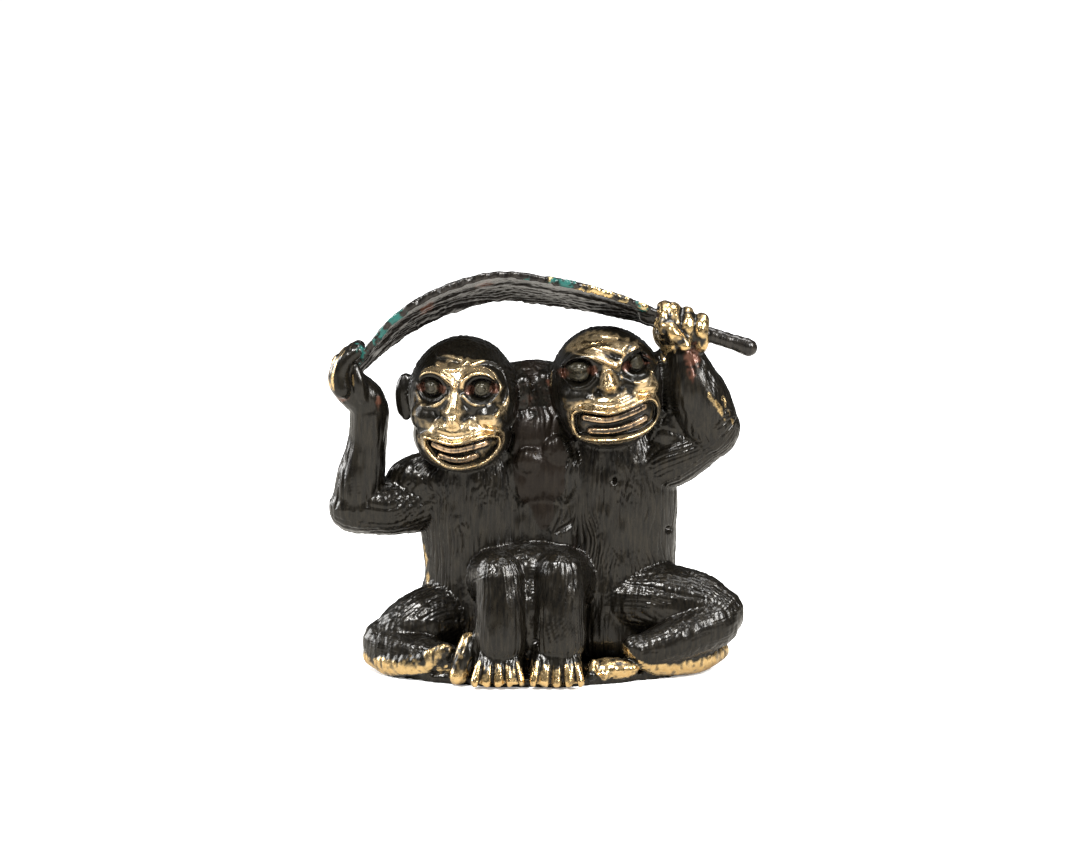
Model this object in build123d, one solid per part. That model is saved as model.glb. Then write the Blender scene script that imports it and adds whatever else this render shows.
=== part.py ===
from build123d import *
from math import cos, pi, sin, sqrt
import os

# Two seated apes that hold a leaf over their heads: a small bronze, in millimetres.
# The wax pattern of such a casting is put together from modelled pieces, and each of them is a solid here.
# The group looks along -Y, +Z is up, and the origin is on the ground under the middle of the group.
# Left and right are the viewer's.

# Overall sizes, which every place in the tables below is a share of
GROUP_WIDTH = 64.0
GROUP_DEPTH = 30.0
GROUP_HEIGHT = 62.0

# Plate and bodies
PLATE_WIDTH = 49.0
PLATE_DEPTH = 25.0
PLATE_THICKNESS = 1.2
LEFT_TORSO_WIDTH = 21.0
RIGHT_TORSO_WIDTH = 22.0
TORSO_DEPTH = 17.0

# Heads
HEAD_WIDTH = 16.8
HEAD_DEPTH = 17.2
HEAD_HEIGHT = 18.0
MUZZLE_WIDTH = 14.4
MUZZLE_DEPTH = 14.8
MUZZLE_HEIGHT = 11.2
LEFT_HEAD_YAW = -7.0
LEFT_HEAD_ROLL = 0.0
RIGHT_HEAD_YAW = 3.0
RIGHT_HEAD_ROLL = -10.0

# Eyes, nose and brows
EYE_DIAMETER = 2.7
EYE_STAND = 0.5
EYE_RING_DIAMETER = 5.0
EYE_RING_THICKNESS = 1.4
SOCKET_DIAMETER = 4.4
SOCKET_DEPTH = 0.9
EYE_TURN = 28.0
NOSE_WIDTH = 3.4
NOSE_THICKNESS = 2.3
NOSTRIL_DIAMETER = 1.0
BROW_LENGTH = 6.2
BROW_THICKNESS = 2.2
LEFT_BROW_TILT = 17.0
RIGHT_BROW_TILT = -20.0

# Mouths and ears
LEFT_MOUTH_WIDTH = 11.0
LEFT_MOUTH_HEIGHT = 3.9
LEFT_SMILE_RISE = 1.2
RIGHT_MOUTH_WIDTH = 12.2
RIGHT_MOUTH_HEIGHT = 4.4
MOUTH_CORNER_RADIUS = 1.5
LIP_WIDTH = 1.0
LIP_STAND = 0.45
MOUTH_DEPTH = 1.3
TOOTH_SETBACK = 0.5
TOOTH_GAP = 0.5
EAR_HEIGHT = 7.4
EAR_WIDTH = 3.4
EAR_THICKNESS = 2.2
EAR_DISH_DEPTH = 0.6

# Arms and hands
UPPER_ARM_DIAMETER = 8.4
FOREARM_DIAMETER = 7.4
INNER_ARM_DIAMETER = 6.4
PALM_DIAMETER = 6.0
FINGER_DIAMETER = 1.9
FINGER_PITCH = 1.75
FINGER_COUNT = 4
FIST_WIDTH = 8.0
FIST_DEPTH = 5.4
FIST_HEIGHT = 7.2

# Legs and feet
THIGH_DIAMETER = 11.0
SHIN_DIAMETER = 6.4
SOLE_DIAMETER = 4.2
HEEL_DIAMETER = 3.8
FRONT_FOOT_WIDTH = 8.2
FRONT_FOOT_LENGTH = 8.4
FRONT_FOOT_HEIGHT = 5.6
TOE_DIAMETER = 1.8
TOE_PITCH = 1.62
TOE_COUNT = 5

# Leaf
LEAF_WIDTH = 13.5
LEAF_THICKNESS = 1.1
LEAF_CAMBER = 1.1
LEAF_TILT = 22.0
STALK_DIAMETER = 2.3

# Flat sides round a body, a limb, a finger and an eye ring's section, as worked wax has
BODY_SIDES = 16
LIMB_SIDES = 12
FINGER_SIDES = 8
RING_SIDES = 6

# One overrun for every cut that runs past the piece
OVERRUN = 4.0

# Directions: to the viewer's right, from front to back, and up
ACROSS = Vector(1, 0, 0)
THROUGH = Vector(0, 1, 0)
UPRIGHT = Vector(0, 0, 1)

# Tables of places: x, y and z as shares of the group's width, depth and height,
# then the share of the piece's own diameter, or of its width and depth
PLATE_OUTLINE_SHARES = (
    (-0.500, 0.05), (-0.470, -0.20), (-0.330, -0.38), (-0.140, -0.49), (0.060, -0.50), (0.230, -0.40),
    (0.400, -0.24), (0.500, 0.02), (0.440, 0.36), (0.200, 0.50), (-0.170, 0.50), (-0.420, 0.36),
)
LEFT_TORSO_SHARES = (
    (-0.164, 0.167, 0.000, 1.000, 1.00), (-0.164, 0.167, 0.097, 0.980, 1.00),
    (-0.128, 0.167, 0.210, 0.840, 0.88), (-0.141, 0.167, 0.323, 0.914, 0.86),
    (-0.141, 0.160, 0.435, 0.933, 0.85), (-0.153, 0.133, 0.516, 0.700, 0.70),
    (-0.169, 0.100, 0.581, 0.440, 0.53),
)
RIGHT_TORSO_SHARES = (
    (0.172, 0.167, 0.000, 1.000, 1.00), (0.172, 0.167, 0.097, 0.980, 1.00),
    (0.167, 0.167, 0.210, 0.890, 0.88), (0.164, 0.167, 0.339, 0.940, 0.86),
    (0.167, 0.160, 0.468, 0.960, 0.85), (0.164, 0.133, 0.548, 0.700, 0.70),
    (0.159, 0.100, 0.613, 0.430, 0.53),
)
LEFT_HEAD_SHARES = (-0.181, 0.017, 0.656)
RIGHT_HEAD_SHARES = (0.156, 0.017, 0.690)

LEFT_UPPER_ARM_SHARES = (
    (-0.188, 0.150, 0.435, 1.00), (-0.266, 0.133, 0.411, 0.98), (-0.352, 0.100, 0.406, 1.00),
    (-0.438, 0.067, 0.402, 0.93),
)
LEFT_FOREARM_SHARES = (
    (-0.438, 0.067, 0.406, 1.00), (-0.425, 0.050, 0.468, 1.00), (-0.408, 0.033, 0.556, 0.80),
    (-0.400, 0.017, 0.635, 0.80),
)
RIGHT_UPPER_ARM_SHARES = (
    (0.219, 0.133, 0.492, 1.14), (0.305, 0.117, 0.516, 1.10), (0.375, 0.100, 0.552, 0.88),
    (0.425, 0.083, 0.592, 0.70),
)
RIGHT_FOREARM_SHARES = (
    (0.424, 0.083, 0.590, 0.80), (0.411, 0.067, 0.645, 0.82), (0.380, 0.040, 0.706, 0.77),
    (0.345, 0.010, 0.775, 0.66),
)
LEFT_PALM_SHARES = (
    (-0.400, 0.015, 0.630, 0.72), (-0.410, 0.010, 0.664, 0.95), (-0.436, 0.000, 0.690, 0.95),
    (-0.460, -0.010, 0.720, 0.84), (-0.462, -0.013, 0.752, 0.62),
)
LEFT_FINGER_SHARES = (
    (-0.470, 0.700, 1.05), (-0.476, 0.735, 1.00), (-0.462, 0.772, 0.95), (-0.436, 0.800, 0.80),
)
LEFT_FINGER_ROOT_SHARE = -0.010
LEFT_THUMB_SHARES = (
    (-0.415, -0.070, 0.672, 1.05), (-0.424, -0.090, 0.712, 1.00), (-0.432, -0.085, 0.748, 0.85),
)
RIGHT_FIST_SHARES = (0.327, 0.020, 0.826)
RIGHT_FINGER_LINE_SHARES = (0.285, 0.372)
RIGHT_FINGER_SHARE = 1.12
RIGHT_THUMB_SHARES = (
    (0.277, -0.105, 0.858, 1.05), (0.305, -0.150, 0.838, 1.15), (0.335, -0.150, 0.812, 1.00),
)
RIGHT_INNER_BACK_SHARES = (
    (0.070, 0.180, 0.520, 0.95), (0.040, 0.170, 0.610, 1.00), (0.000, 0.130, 0.690, 1.00),
)
RIGHT_INNER_FRONT_SHARES = (
    (0.000, 0.130, 0.690, 1.00), (-0.014, -0.020, 0.672, 0.95), (-0.014, -0.120, 0.600, 0.90),
    (-0.010, -0.165, 0.530, 0.95), (-0.014, -0.170, 0.470, 0.95),
)
RIGHT_INNER_FINGER_SHARES = ((-0.165, 0.470, 1.10), (-0.185, 0.440, 1.05), (-0.180, 0.405, 0.90))
RIGHT_INNER_FINGER_ROOT_SHARE = -0.014
LEFT_INNER_ARM_SHARES = (
    (-0.070, 0.270, 0.470, 0.90), (0.030, 0.370, 0.475, 0.85), (0.125, 0.410, 0.452, 0.80),
    (0.210, 0.395, 0.428, 0.75),
)
LEFT_INNER_FINGER_SHARES = ((0.205, 0.395, 0.425), (0.245, 0.375, 0.415), (0.282, 0.335, 0.405))

LEFT_FOLDED_THIGH_SHARES = (
    (-0.188, 0.100, 0.129, 1.06), (-0.266, 0.020, 0.112, 1.02), (-0.330, -0.015, 0.086, 0.87),
    (-0.363, -0.035, 0.072, 0.69),
)
LEFT_FOLDED_SHIN_SHARES = (
    (-0.360, -0.065, 0.064, 1.06), (-0.290, -0.170, 0.055, 1.00), (-0.219, -0.250, 0.050, 0.82),
)
RIGHT_FOLDED_THIGH_SHARES = (
    (0.188, 0.100, 0.161, 1.13), (0.281, 0.027, 0.166, 1.09), (0.367, -0.017, 0.160, 0.95),
    (0.412, -0.050, 0.145, 0.80),
)
RIGHT_FOLDED_SHIN_SHARES = (
    (0.408, -0.095, 0.126, 1.25), (0.328, -0.180, 0.097, 1.10), (0.242, -0.230, 0.068, 0.88),
)
LEFT_RAISED_THIGH_SHARES = (
    (-0.109, 0.100, 0.180, 0.84), (-0.106, -0.100, 0.240, 0.77), (-0.102, -0.280, 0.268, 0.60),
)
LEFT_RAISED_SHIN_SHARES = (
    (-0.095, -0.290, 0.262, 1.12), (-0.091, -0.315, 0.180, 1.22), (-0.089, -0.325, 0.090, 1.05),
)
RIGHT_RAISED_THIGH_SHARES = (
    (0.094, 0.100, 0.185, 0.84), (0.056, -0.100, 0.245, 0.77), (0.041, -0.280, 0.272, 0.60),
)
RIGHT_RAISED_SHIN_SHARES = (
    (0.044, -0.290, 0.266, 1.12), (0.044, -0.315, 0.180, 1.22), (0.041, -0.325, 0.090, 1.05),
)
LEFT_SOLE_SHARES = (
    (-0.390, -0.060, 0.036, 0.95), (-0.345, -0.160, 0.034, 1.05), (-0.276, -0.255, 0.039, 0.98),
    (-0.217, -0.310, 0.052, 0.80),
)
LEFT_SOLE_TOE_SHARES = (
    (-0.164, -0.335, 0.100, 1.20), (-0.178, -0.355, 0.060, 1.75), (-0.195, -0.375, 0.025, 1.50),
)
RIGHT_SOLE_SHARES = (
    (0.414, 0.000, 0.040, 0.90), (0.378, -0.095, 0.037, 1.05), (0.320, -0.175, 0.037, 1.05),
    (0.250, -0.235, 0.045, 0.95), (0.165, -0.290, 0.045, 0.90),
)
RIGHT_HEEL_SHARES = (0.234, -0.250, 0.070)
RIGHT_SOLE_TOE_SHARES = ((0.124, -0.365), (0.151, -0.345), (0.178, -0.320), (0.203, -0.290))
RIGHT_SOLE_TOE_HEIGHT_SHARES = (0.052, 0.026)
LEFT_FRONT_FOOT_SHARES = (-0.099, -0.355, 0.045)
RIGHT_FRONT_FOOT_SHARES = (0.037, -0.360, 0.045)
TOE_SHARES = ((-0.385, 0.055, 1.00), (-0.430, 0.042, 1.05), (-0.467, 0.022, 0.95))

# Leaf: x and z of the middle line, then the share of the leaf's full width
LEAF_SHARES = (
    (-0.447, 0.730, 0.18), (-0.377, 0.806, 0.50), (-0.330, 0.852, 0.72), (-0.236, 0.908, 0.93),
    (-0.095, 0.948, 1.00), (0.045, 0.926, 1.00), (0.139, 0.903, 0.90), (0.233, 0.874, 0.68),
    (0.292, 0.855, 0.45),
)
LEAF_MIDDLE_SHARE = 0.000
LEAF_SIDE_SHARES = (-1.0, -0.6, 0.0, 0.6, 1.0)
STALK_SHARES = (
    (0.245, -0.030, 0.872, 0.95), (0.350, -0.035, 0.840, 1.00), (0.420, -0.035, 0.817, 1.02),
    (0.486, -0.035, 0.796, 1.20),
)

# Places on a head, as shares of its own width, depth and height from its middle
SKULL_SHARES = (0.00, 0.03, 0.065)
EAR_SHARES = (0.525, 0.070, 0.040)
LEFT_FACE_SHARES = {
    "muzzle": (0.00, -0.145, -0.240),
    "eye": (0.226, -0.405, 0.180),
    "brow": (0.195, -0.405, 0.340),
    "nose_root": (0.00, -0.440, 0.250),
    "nose_tip": (0.00, -0.575, -0.050),
    "nostril": (0.045, -0.600, -0.110),
    "mouth_level": -0.335,
}
RIGHT_FACE_SHARES = {
    "muzzle": (0.00, -0.145, -0.150),
    "eye": (0.258, -0.395, 0.222),
    "brow": (0.205, -0.395, 0.375),
    "nose_root": (0.00, -0.440, 0.270),
    "nose_tip": (0.00, -0.555, 0.080),
    "nostril": (0.045, -0.575, 0.020),
    "mouth_level": -0.215,
}
NOSE_ROOT_SHARE = 0.60

# A rounded limb end: how far out the last ring lies and how large it is, as shares of the end's radius
END_RING_SHARES = (0.70, 0.714)

# Ellipsoids are drawn through ovals at these shares of their half height
BALL_LEVEL_SHARES = (-0.93, -0.72, -0.38, 0.00, 0.38, 0.72, 0.93)


def spot(x_share, y_share, z_share):
    return Vector(x_share * GROUP_WIDTH, y_share * GROUP_DEPTH, z_share * GROUP_HEIGHT)


def head_spot(x_share, y_share, z_share):
    return Vector(x_share * HEAD_WIDTH, y_share * HEAD_DEPTH, z_share * HEAD_HEIGHT)


def oval(width, depth, sides):
    """An oval outline of straight sides."""
    points = []
    for number in range(sides):
        angle = 2 * pi * number / sides
        points.append((width / 2 * cos(angle), depth / 2 * sin(angle)))
    return make_face(Polyline(*points, close=True))


def ellipsoid(width, depth, height, sides):
    """An ellipsoid lofted through level ovals between its two poles."""
    sections = [Vertex(0, 0, -height / 2)]
    for level_share in BALL_LEVEL_SHARES:
        around = sqrt(1 - level_share ** 2)
        sections.append(Pos(0, 0, level_share * height / 2) * oval(around * width, around * depth, sides))
    sections.append(Vertex(0, 0, height / 2))
    return loft(sections, ruled=True)


def ring(diameter, thickness):
    """A ring about Z, turned from a flat-sided section."""
    section = Plane.XZ * Pos(diameter / 2, 0) * RegularPolygon(thickness / 2, RING_SIDES)
    return revolve(section, Axis.Z)


def rounded_loft(centres, radii, side, sides):
    """A round limb through rings square to its path, closed by a rounded tip at each end."""
    last = len(centres) - 1
    ring_out, ring_share = END_RING_SHARES
    sections = []
    for number, (centre, radius) in enumerate(zip(centres, radii)):
        along = (centres[min(number + 1, last)] - centres[max(number - 1, 0)]).normalized()
        small = oval(2 * ring_share * radius, 2 * ring_share * radius, sides)
        if number == 0:
            sections.append(Vertex(*(centre - along * radius)))
            sections.append(Plane(centre - along * (ring_out * radius), x_dir=side, z_dir=along) * small)
        sections.append(Plane(centre, x_dir=side, z_dir=along) * oval(2 * radius, 2 * radius, sides))
        if number == last:
            sections.append(Plane(centre + along * (ring_out * radius), x_dir=side, z_dir=along) * small)
            sections.append(Vertex(*(centre + along * radius)))
    return loft(sections, ruled=True)


def limb(table_shares, diameter, side, sides=LIMB_SIDES):
    centres = [spot(*row[:3]) for row in table_shares]
    radii = [row[3] * diameter / 2 for row in table_shares]
    return rounded_loft(centres, radii, side, sides)


def make_plate():
    points = [(x * PLATE_WIDTH, y * PLATE_DEPTH) for x, y in PLATE_OUTLINE_SHARES]
    arcs = []
    for start in range(0, len(points), 2):
        arcs.append(ThreePointArc(points[start], points[start + 1], points[(start + 2) % len(points)]))
    return extrude(make_face(arcs), PLATE_THICKNESS)


def make_ground():
    """What lies under the group: legs and feet are cut flat on it."""
    under = (Align.CENTER, Align.CENTER, Align.MAX)
    return Box(GROUP_WIDTH + OVERRUN, GROUP_DEPTH + OVERRUN, OVERRUN, align=under)


def make_torso(table_shares, width):
    """A body lofted through ovals, from the ground to the neck."""
    sections = []
    for x, y, z, width_share, depth_share in table_shares:
        sections.append(Pos(spot(x, y, z)) * oval(width_share * width, depth_share * TORSO_DEPTH, BODY_SIDES))
    return loft(sections, ruled=True)


def mirrored_pair(make):
    return [make(-1), make(1)]


def make_eye_frame(face, side):
    """The frame of one eye: its Z looks out of the socket."""
    x, y, z = face["eye"]
    return Pos(head_spot(side * x, y, z)) * Rot(0, 0, side * EYE_TURN) * Rot(90, 0, 0)


def socket(face, side):
    """The round hollow that an eye lies in."""
    lift = SOCKET_DIAMETER / 2 - SOCKET_DEPTH
    ball = ellipsoid(SOCKET_DIAMETER, SOCKET_DIAMETER, SOCKET_DIAMETER, LIMB_SIDES)
    return make_eye_frame(face, side) * Pos(0, 0, lift) * ball


def skull_form():
    return Pos(head_spot(*SKULL_SHARES)) * ellipsoid(HEAD_WIDTH, HEAD_DEPTH, HEAD_HEIGHT, BODY_SIDES)


def muzzle_form(face, growth):
    sizes = (size + 2 * growth for size in (MUZZLE_WIDTH, MUZZLE_DEPTH, MUZZLE_HEIGHT))
    return Pos(head_spot(*face["muzzle"])) * ellipsoid(*sizes, BODY_SIDES)


def smile_outline(width, height, rise):
    """A crescent: both lips sag between corners that are drawn up."""
    corner = Vector(width / 2, height / 2 + rise)
    other = Vector(-width / 2, height / 2 + rise)
    upper = ThreePointArc(corner, (0, height / 2), other)
    lower = ThreePointArc(other, (0, -height / 2), corner)
    return make_face([upper, lower])


def grin_outline(width, height):
    return make_face(RectangleRounded(width, height, MOUTH_CORNER_RADIUS).edges())


def mouth_prism(face, outline):
    """The mouth's outline, set on the face and run back into the middle of the muzzle."""
    level = Pos(0, -HEAD_DEPTH - OVERRUN, face["mouth_level"] * HEAD_HEIGHT) * Rot(90, 0, 0)
    back = HEAD_DEPTH + OVERRUN + head_spot(*face["muzzle"]).Y
    return level * extrude(outline, -back)


def make_nose(face):
    """A tapered bridge that ends on a short rounded bar across the muzzle."""
    tip = head_spot(*face["nose_tip"])
    root = head_spot(*face["nose_root"])
    radii = [NOSE_THICKNESS / 2, NOSE_ROOT_SHARE * NOSE_THICKNESS / 2]
    bar = ellipsoid(NOSE_WIDTH, NOSE_THICKNESS, NOSE_THICKNESS, FINGER_SIDES)
    return [rounded_loft([tip, root], radii, ACROSS, FINGER_SIDES), Pos(tip) * bar]


def make_head(face, outline, brow_tilt):
    """Skull, muzzle, eye rings, brows, nose and lips in one, with sockets, nostrils and mouth cut in."""

    def brow(side):
        x, y, z = face["brow"]
        bar = ellipsoid(BROW_LENGTH, BROW_THICKNESS, BROW_THICKNESS, FINGER_SIDES)
        return Pos(head_spot(side * x, y, z)) * Rot(0, 0, side * EYE_TURN) * Rot(0, side * brow_tilt, 0) * bar

    def eye_ring(side):
        return make_eye_frame(face, side) * ring(EYE_RING_DIAMETER, EYE_RING_THICKNESS)

    def eye_socket(side):
        return socket(face, side)

    def nostril(side):
        x, y, z = face["nostril"]
        hole = ellipsoid(NOSTRIL_DIAMETER, NOSTRIL_DIAMETER, NOSTRIL_DIAMETER, FINGER_SIDES)
        return Pos(head_spot(side * x, y, z)) * hole

    inner = mouth_prism(face, outline)
    lips = (mouth_prism(face, offset(outline, LIP_WIDTH)) - inner) & muzzle_form(face, LIP_STAND)
    cavity = inner - muzzle_form(face, -MOUTH_DEPTH)
    head = skull_form() + (muzzle_form(face, 0) + lips.solids() - cavity)
    for form in (*mirrored_pair(brow), *mirrored_pair(eye_ring), *make_nose(face)):
        head = head + form
    for hollow in (*mirrored_pair(eye_socket), *mirrored_pair(nostril)):
        head = head - hollow
    return head


def make_ears():
    """Two ears, each an upright oval with a dish in its front."""

    def ear(side):
        x, y, z = EAR_SHARES
        shell = ellipsoid(EAR_WIDTH, EAR_THICKNESS, EAR_HEIGHT, LIMB_SIDES)
        dish = Pos(0, EAR_DISH_DEPTH - EAR_THICKNESS, 0) * shell
        return Pos(head_spot(side * x, y, z)) * (shell - dish)

    return mirrored_pair(ear)


def make_eyes(face):
    """Two eyeballs, each the part of a ball that stands in its socket."""

    def eye(side):
        ball = ellipsoid(EYE_DIAMETER, EYE_DIAMETER, EYE_DIAMETER, LIMB_SIDES)
        return make_eye_frame(face, side) * Pos(0, 0, EYE_STAND - EYE_DIAMETER / 2) * ball & socket(face, side)

    return mirrored_pair(eye)


def make_teeth(face, outline, mouth_height):
    """Two bands on the floor of the mouth, one over and one under the gap between the rows."""
    middle = head_spot(*face["muzzle"])
    filling = mouth_prism(face, outline) & muzzle_form(face, -TOOTH_SETBACK)
    filling = filling - muzzle_form(face, -MOUTH_DEPTH)

    def row(side):
        reach = mouth_height + OVERRUN
        lift = face["mouth_level"] * HEAD_HEIGHT + side * (reach + TOOTH_GAP) / 2
        return filling & Pos(0, middle.Y - MUZZLE_DEPTH / 2, lift) * Box(MUZZLE_WIDTH, MUZZLE_DEPTH, reach)

    return mirrored_pair(row)


def finger_places(count, pitch):
    return [(number - (count - 1) / 2) * pitch for number in range(count)]


def make_arm(upper_shares, forearm_shares):
    upper = limb(upper_shares, UPPER_ARM_DIAMETER, THROUGH)
    return upper + limb(forearm_shares, FOREARM_DIAMETER, THROUGH)


def make_left_raised_hand():
    """A palm with four fingers bent over the leaf's tip, and a thumb in front."""
    fingers = []
    for step in finger_places(FINGER_COUNT, FINGER_PITCH):
        away = Vector(0, step, 0)
        centres = [spot(x, LEFT_FINGER_ROOT_SHARE, z) + away for x, z, _ in LEFT_FINGER_SHARES]
        radii = [share * FINGER_DIAMETER / 2 for _, _, share in LEFT_FINGER_SHARES]
        fingers.append(rounded_loft(centres, radii, THROUGH, FINGER_SIDES))
    thumb = limb(LEFT_THUMB_SHARES, FINGER_DIAMETER, THROUGH, FINGER_SIDES)
    return limb(LEFT_PALM_SHARES, PALM_DIAMETER, THROUGH) + [*fingers, thumb]


def stalk_frame(x_share):
    """A frame on the stalk's middle line, with its Z along the stalk."""
    start = spot(*STALK_SHARES[0][:3])
    end = spot(*STALK_SHARES[-1][:3])
    along = (end - start).normalized()
    reach = (x_share * GROUP_WIDTH - start.X) / along.X
    return Plane(start + along * reach, x_dir=THROUGH, z_dir=along)


def make_right_raised_hand():
    """A fist behind the stalk, with four fingers closed round it and a thumb across the front."""
    first, last = RIGHT_FINGER_LINE_SHARES
    bend = STALK_DIAMETER + FINGER_DIAMETER
    rings = []
    for number in range(FINGER_COUNT):
        place_share = first + (last - first) * number / (FINGER_COUNT - 1)
        rings.append(stalk_frame(place_share) * ring(bend, RIGHT_FINGER_SHARE * FINGER_DIAMETER))
    thumb = limb(RIGHT_THUMB_SHARES, FINGER_DIAMETER, THROUGH, FINGER_SIDES)
    palm = Pos(spot(*RIGHT_FIST_SHARES)) * ellipsoid(FIST_WIDTH, FIST_DEPTH, FIST_HEIGHT, LIMB_SIDES)
    return palm + [*rings, thumb]


def make_right_inner_arm():
    """Up from the shoulder, over the neighbour's, and down the front to a hand on the chest."""
    fingers = []
    for step in finger_places(FINGER_COUNT, FINGER_PITCH):
        away = Vector(step, 0, 0)
        centres = [spot(RIGHT_INNER_FINGER_ROOT_SHARE, y, z) + away for y, z, _ in RIGHT_INNER_FINGER_SHARES]
        radii = [share * FINGER_DIAMETER / 2 for _, _, share in RIGHT_INNER_FINGER_SHARES]
        fingers.append(rounded_loft(centres, radii, ACROSS, FINGER_SIDES))
    back = limb(RIGHT_INNER_BACK_SHARES, INNER_ARM_DIAMETER, THROUGH)
    return back + [limb(RIGHT_INNER_FRONT_SHARES, INNER_ARM_DIAMETER, ACROSS), *fingers]


def make_left_inner_arm():
    """Across the neighbour's back, with the fingers spread on its side."""
    fingers = []
    for step in finger_places(FINGER_COUNT, FINGER_PITCH):
        away = Vector(0, 0, step)
        centres = [spot(*row) + away for row in LEFT_INNER_FINGER_SHARES]
        radii = [FINGER_DIAMETER / 2 for _ in centres]
        fingers.append(rounded_loft(centres, radii, UPRIGHT, FINGER_SIDES))
    return limb(LEFT_INNER_ARM_SHARES, INNER_ARM_DIAMETER, UPRIGHT) + fingers


def make_leg(thigh_shares, shin_shares, side):
    thigh = limb(thigh_shares, THIGH_DIAMETER, side)
    return thigh + limb(shin_shares, SHIN_DIAMETER, side)


def make_front_foot(foot_shares):
    """A broad foot with five toes in front of it."""
    middle = spot(*foot_shares)
    toes = []
    for step in finger_places(TOE_COUNT, TOE_PITCH):
        centres = [Vector(middle.X + step, y * GROUP_DEPTH, z * GROUP_HEIGHT) for y, z, _ in TOE_SHARES]
        radii = [share * TOE_DIAMETER / 2 for _, _, share in TOE_SHARES]
        toes.append(rounded_loft(centres, radii, ACROSS, FINGER_SIDES))
    instep = ellipsoid(FRONT_FOOT_WIDTH, FRONT_FOOT_LENGTH, FRONT_FOOT_HEIGHT, LIMB_SIDES)
    return Pos(middle) * instep + toes


def make_left_folded_foot():
    sole = limb(LEFT_SOLE_SHARES, SOLE_DIAMETER, UPRIGHT)
    return sole, limb(LEFT_SOLE_TOE_SHARES, TOE_DIAMETER, THROUGH, FINGER_SIDES)


def make_right_folded_foot():
    sole = limb(RIGHT_SOLE_SHARES, SOLE_DIAMETER, UPRIGHT)
    heel = Pos(spot(*RIGHT_HEEL_SHARES)) * ellipsoid(HEEL_DIAMETER, HEEL_DIAMETER, HEEL_DIAMETER, LIMB_SIDES)
    high, low = RIGHT_SOLE_TOE_HEIGHT_SHARES
    toes = []
    for x, y in RIGHT_SOLE_TOE_SHARES:
        centres = [spot(x, y + TOE_SHARES[0][1] - TOE_SHARES[1][1], high), spot(x, y, low)]
        toes.append(rounded_loft(centres, [TOE_DIAMETER / 2] * 2, ACROSS, FINGER_SIDES))
    return sole + [heel, *toes]


def make_leaf():
    """A ribbon lofted along the leaf's middle line, arched across and tipped up at the front."""
    centres = [spot(x, LEAF_MIDDLE_SHARE, z) for x, z, _ in LEAF_SHARES]
    last = len(centres) - 1
    sections = []
    for number, centre in enumerate(centres):
        along = (centres[min(number + 1, last)] - centres[max(number - 1, 0)]).normalized()
        flat = Plane(centre, x_dir=THROUGH, z_dir=along)
        half = LEAF_SHARES[number][2] * LEAF_WIDTH / 2
        rise = LEAF_CAMBER * LEAF_SHARES[number][2]
        top = [(side * half, rise * (1 - side ** 2)) for side in LEAF_SIDE_SHARES]
        under = [(x, z - LEAF_THICKNESS) for x, z in reversed(top)]
        sections.append(flat * Rot(0, 0, -LEAF_TILT) * make_face(Polyline(*top, *under, close=True)))
    return loft(sections, ruled=True)


def make_stalk():
    return limb(STALK_SHARES, STALK_DIAMETER, THROUGH, FINGER_SIDES)


def largest(shape):
    return max(shape.solids(), key=lambda solid: solid.volume)


def seat(raw, *carriers):
    """A piece cut back to the faces of the pieces that it sits on."""
    for carrier in carriers:
        raw = raw - carrier
    return largest(raw)


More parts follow.
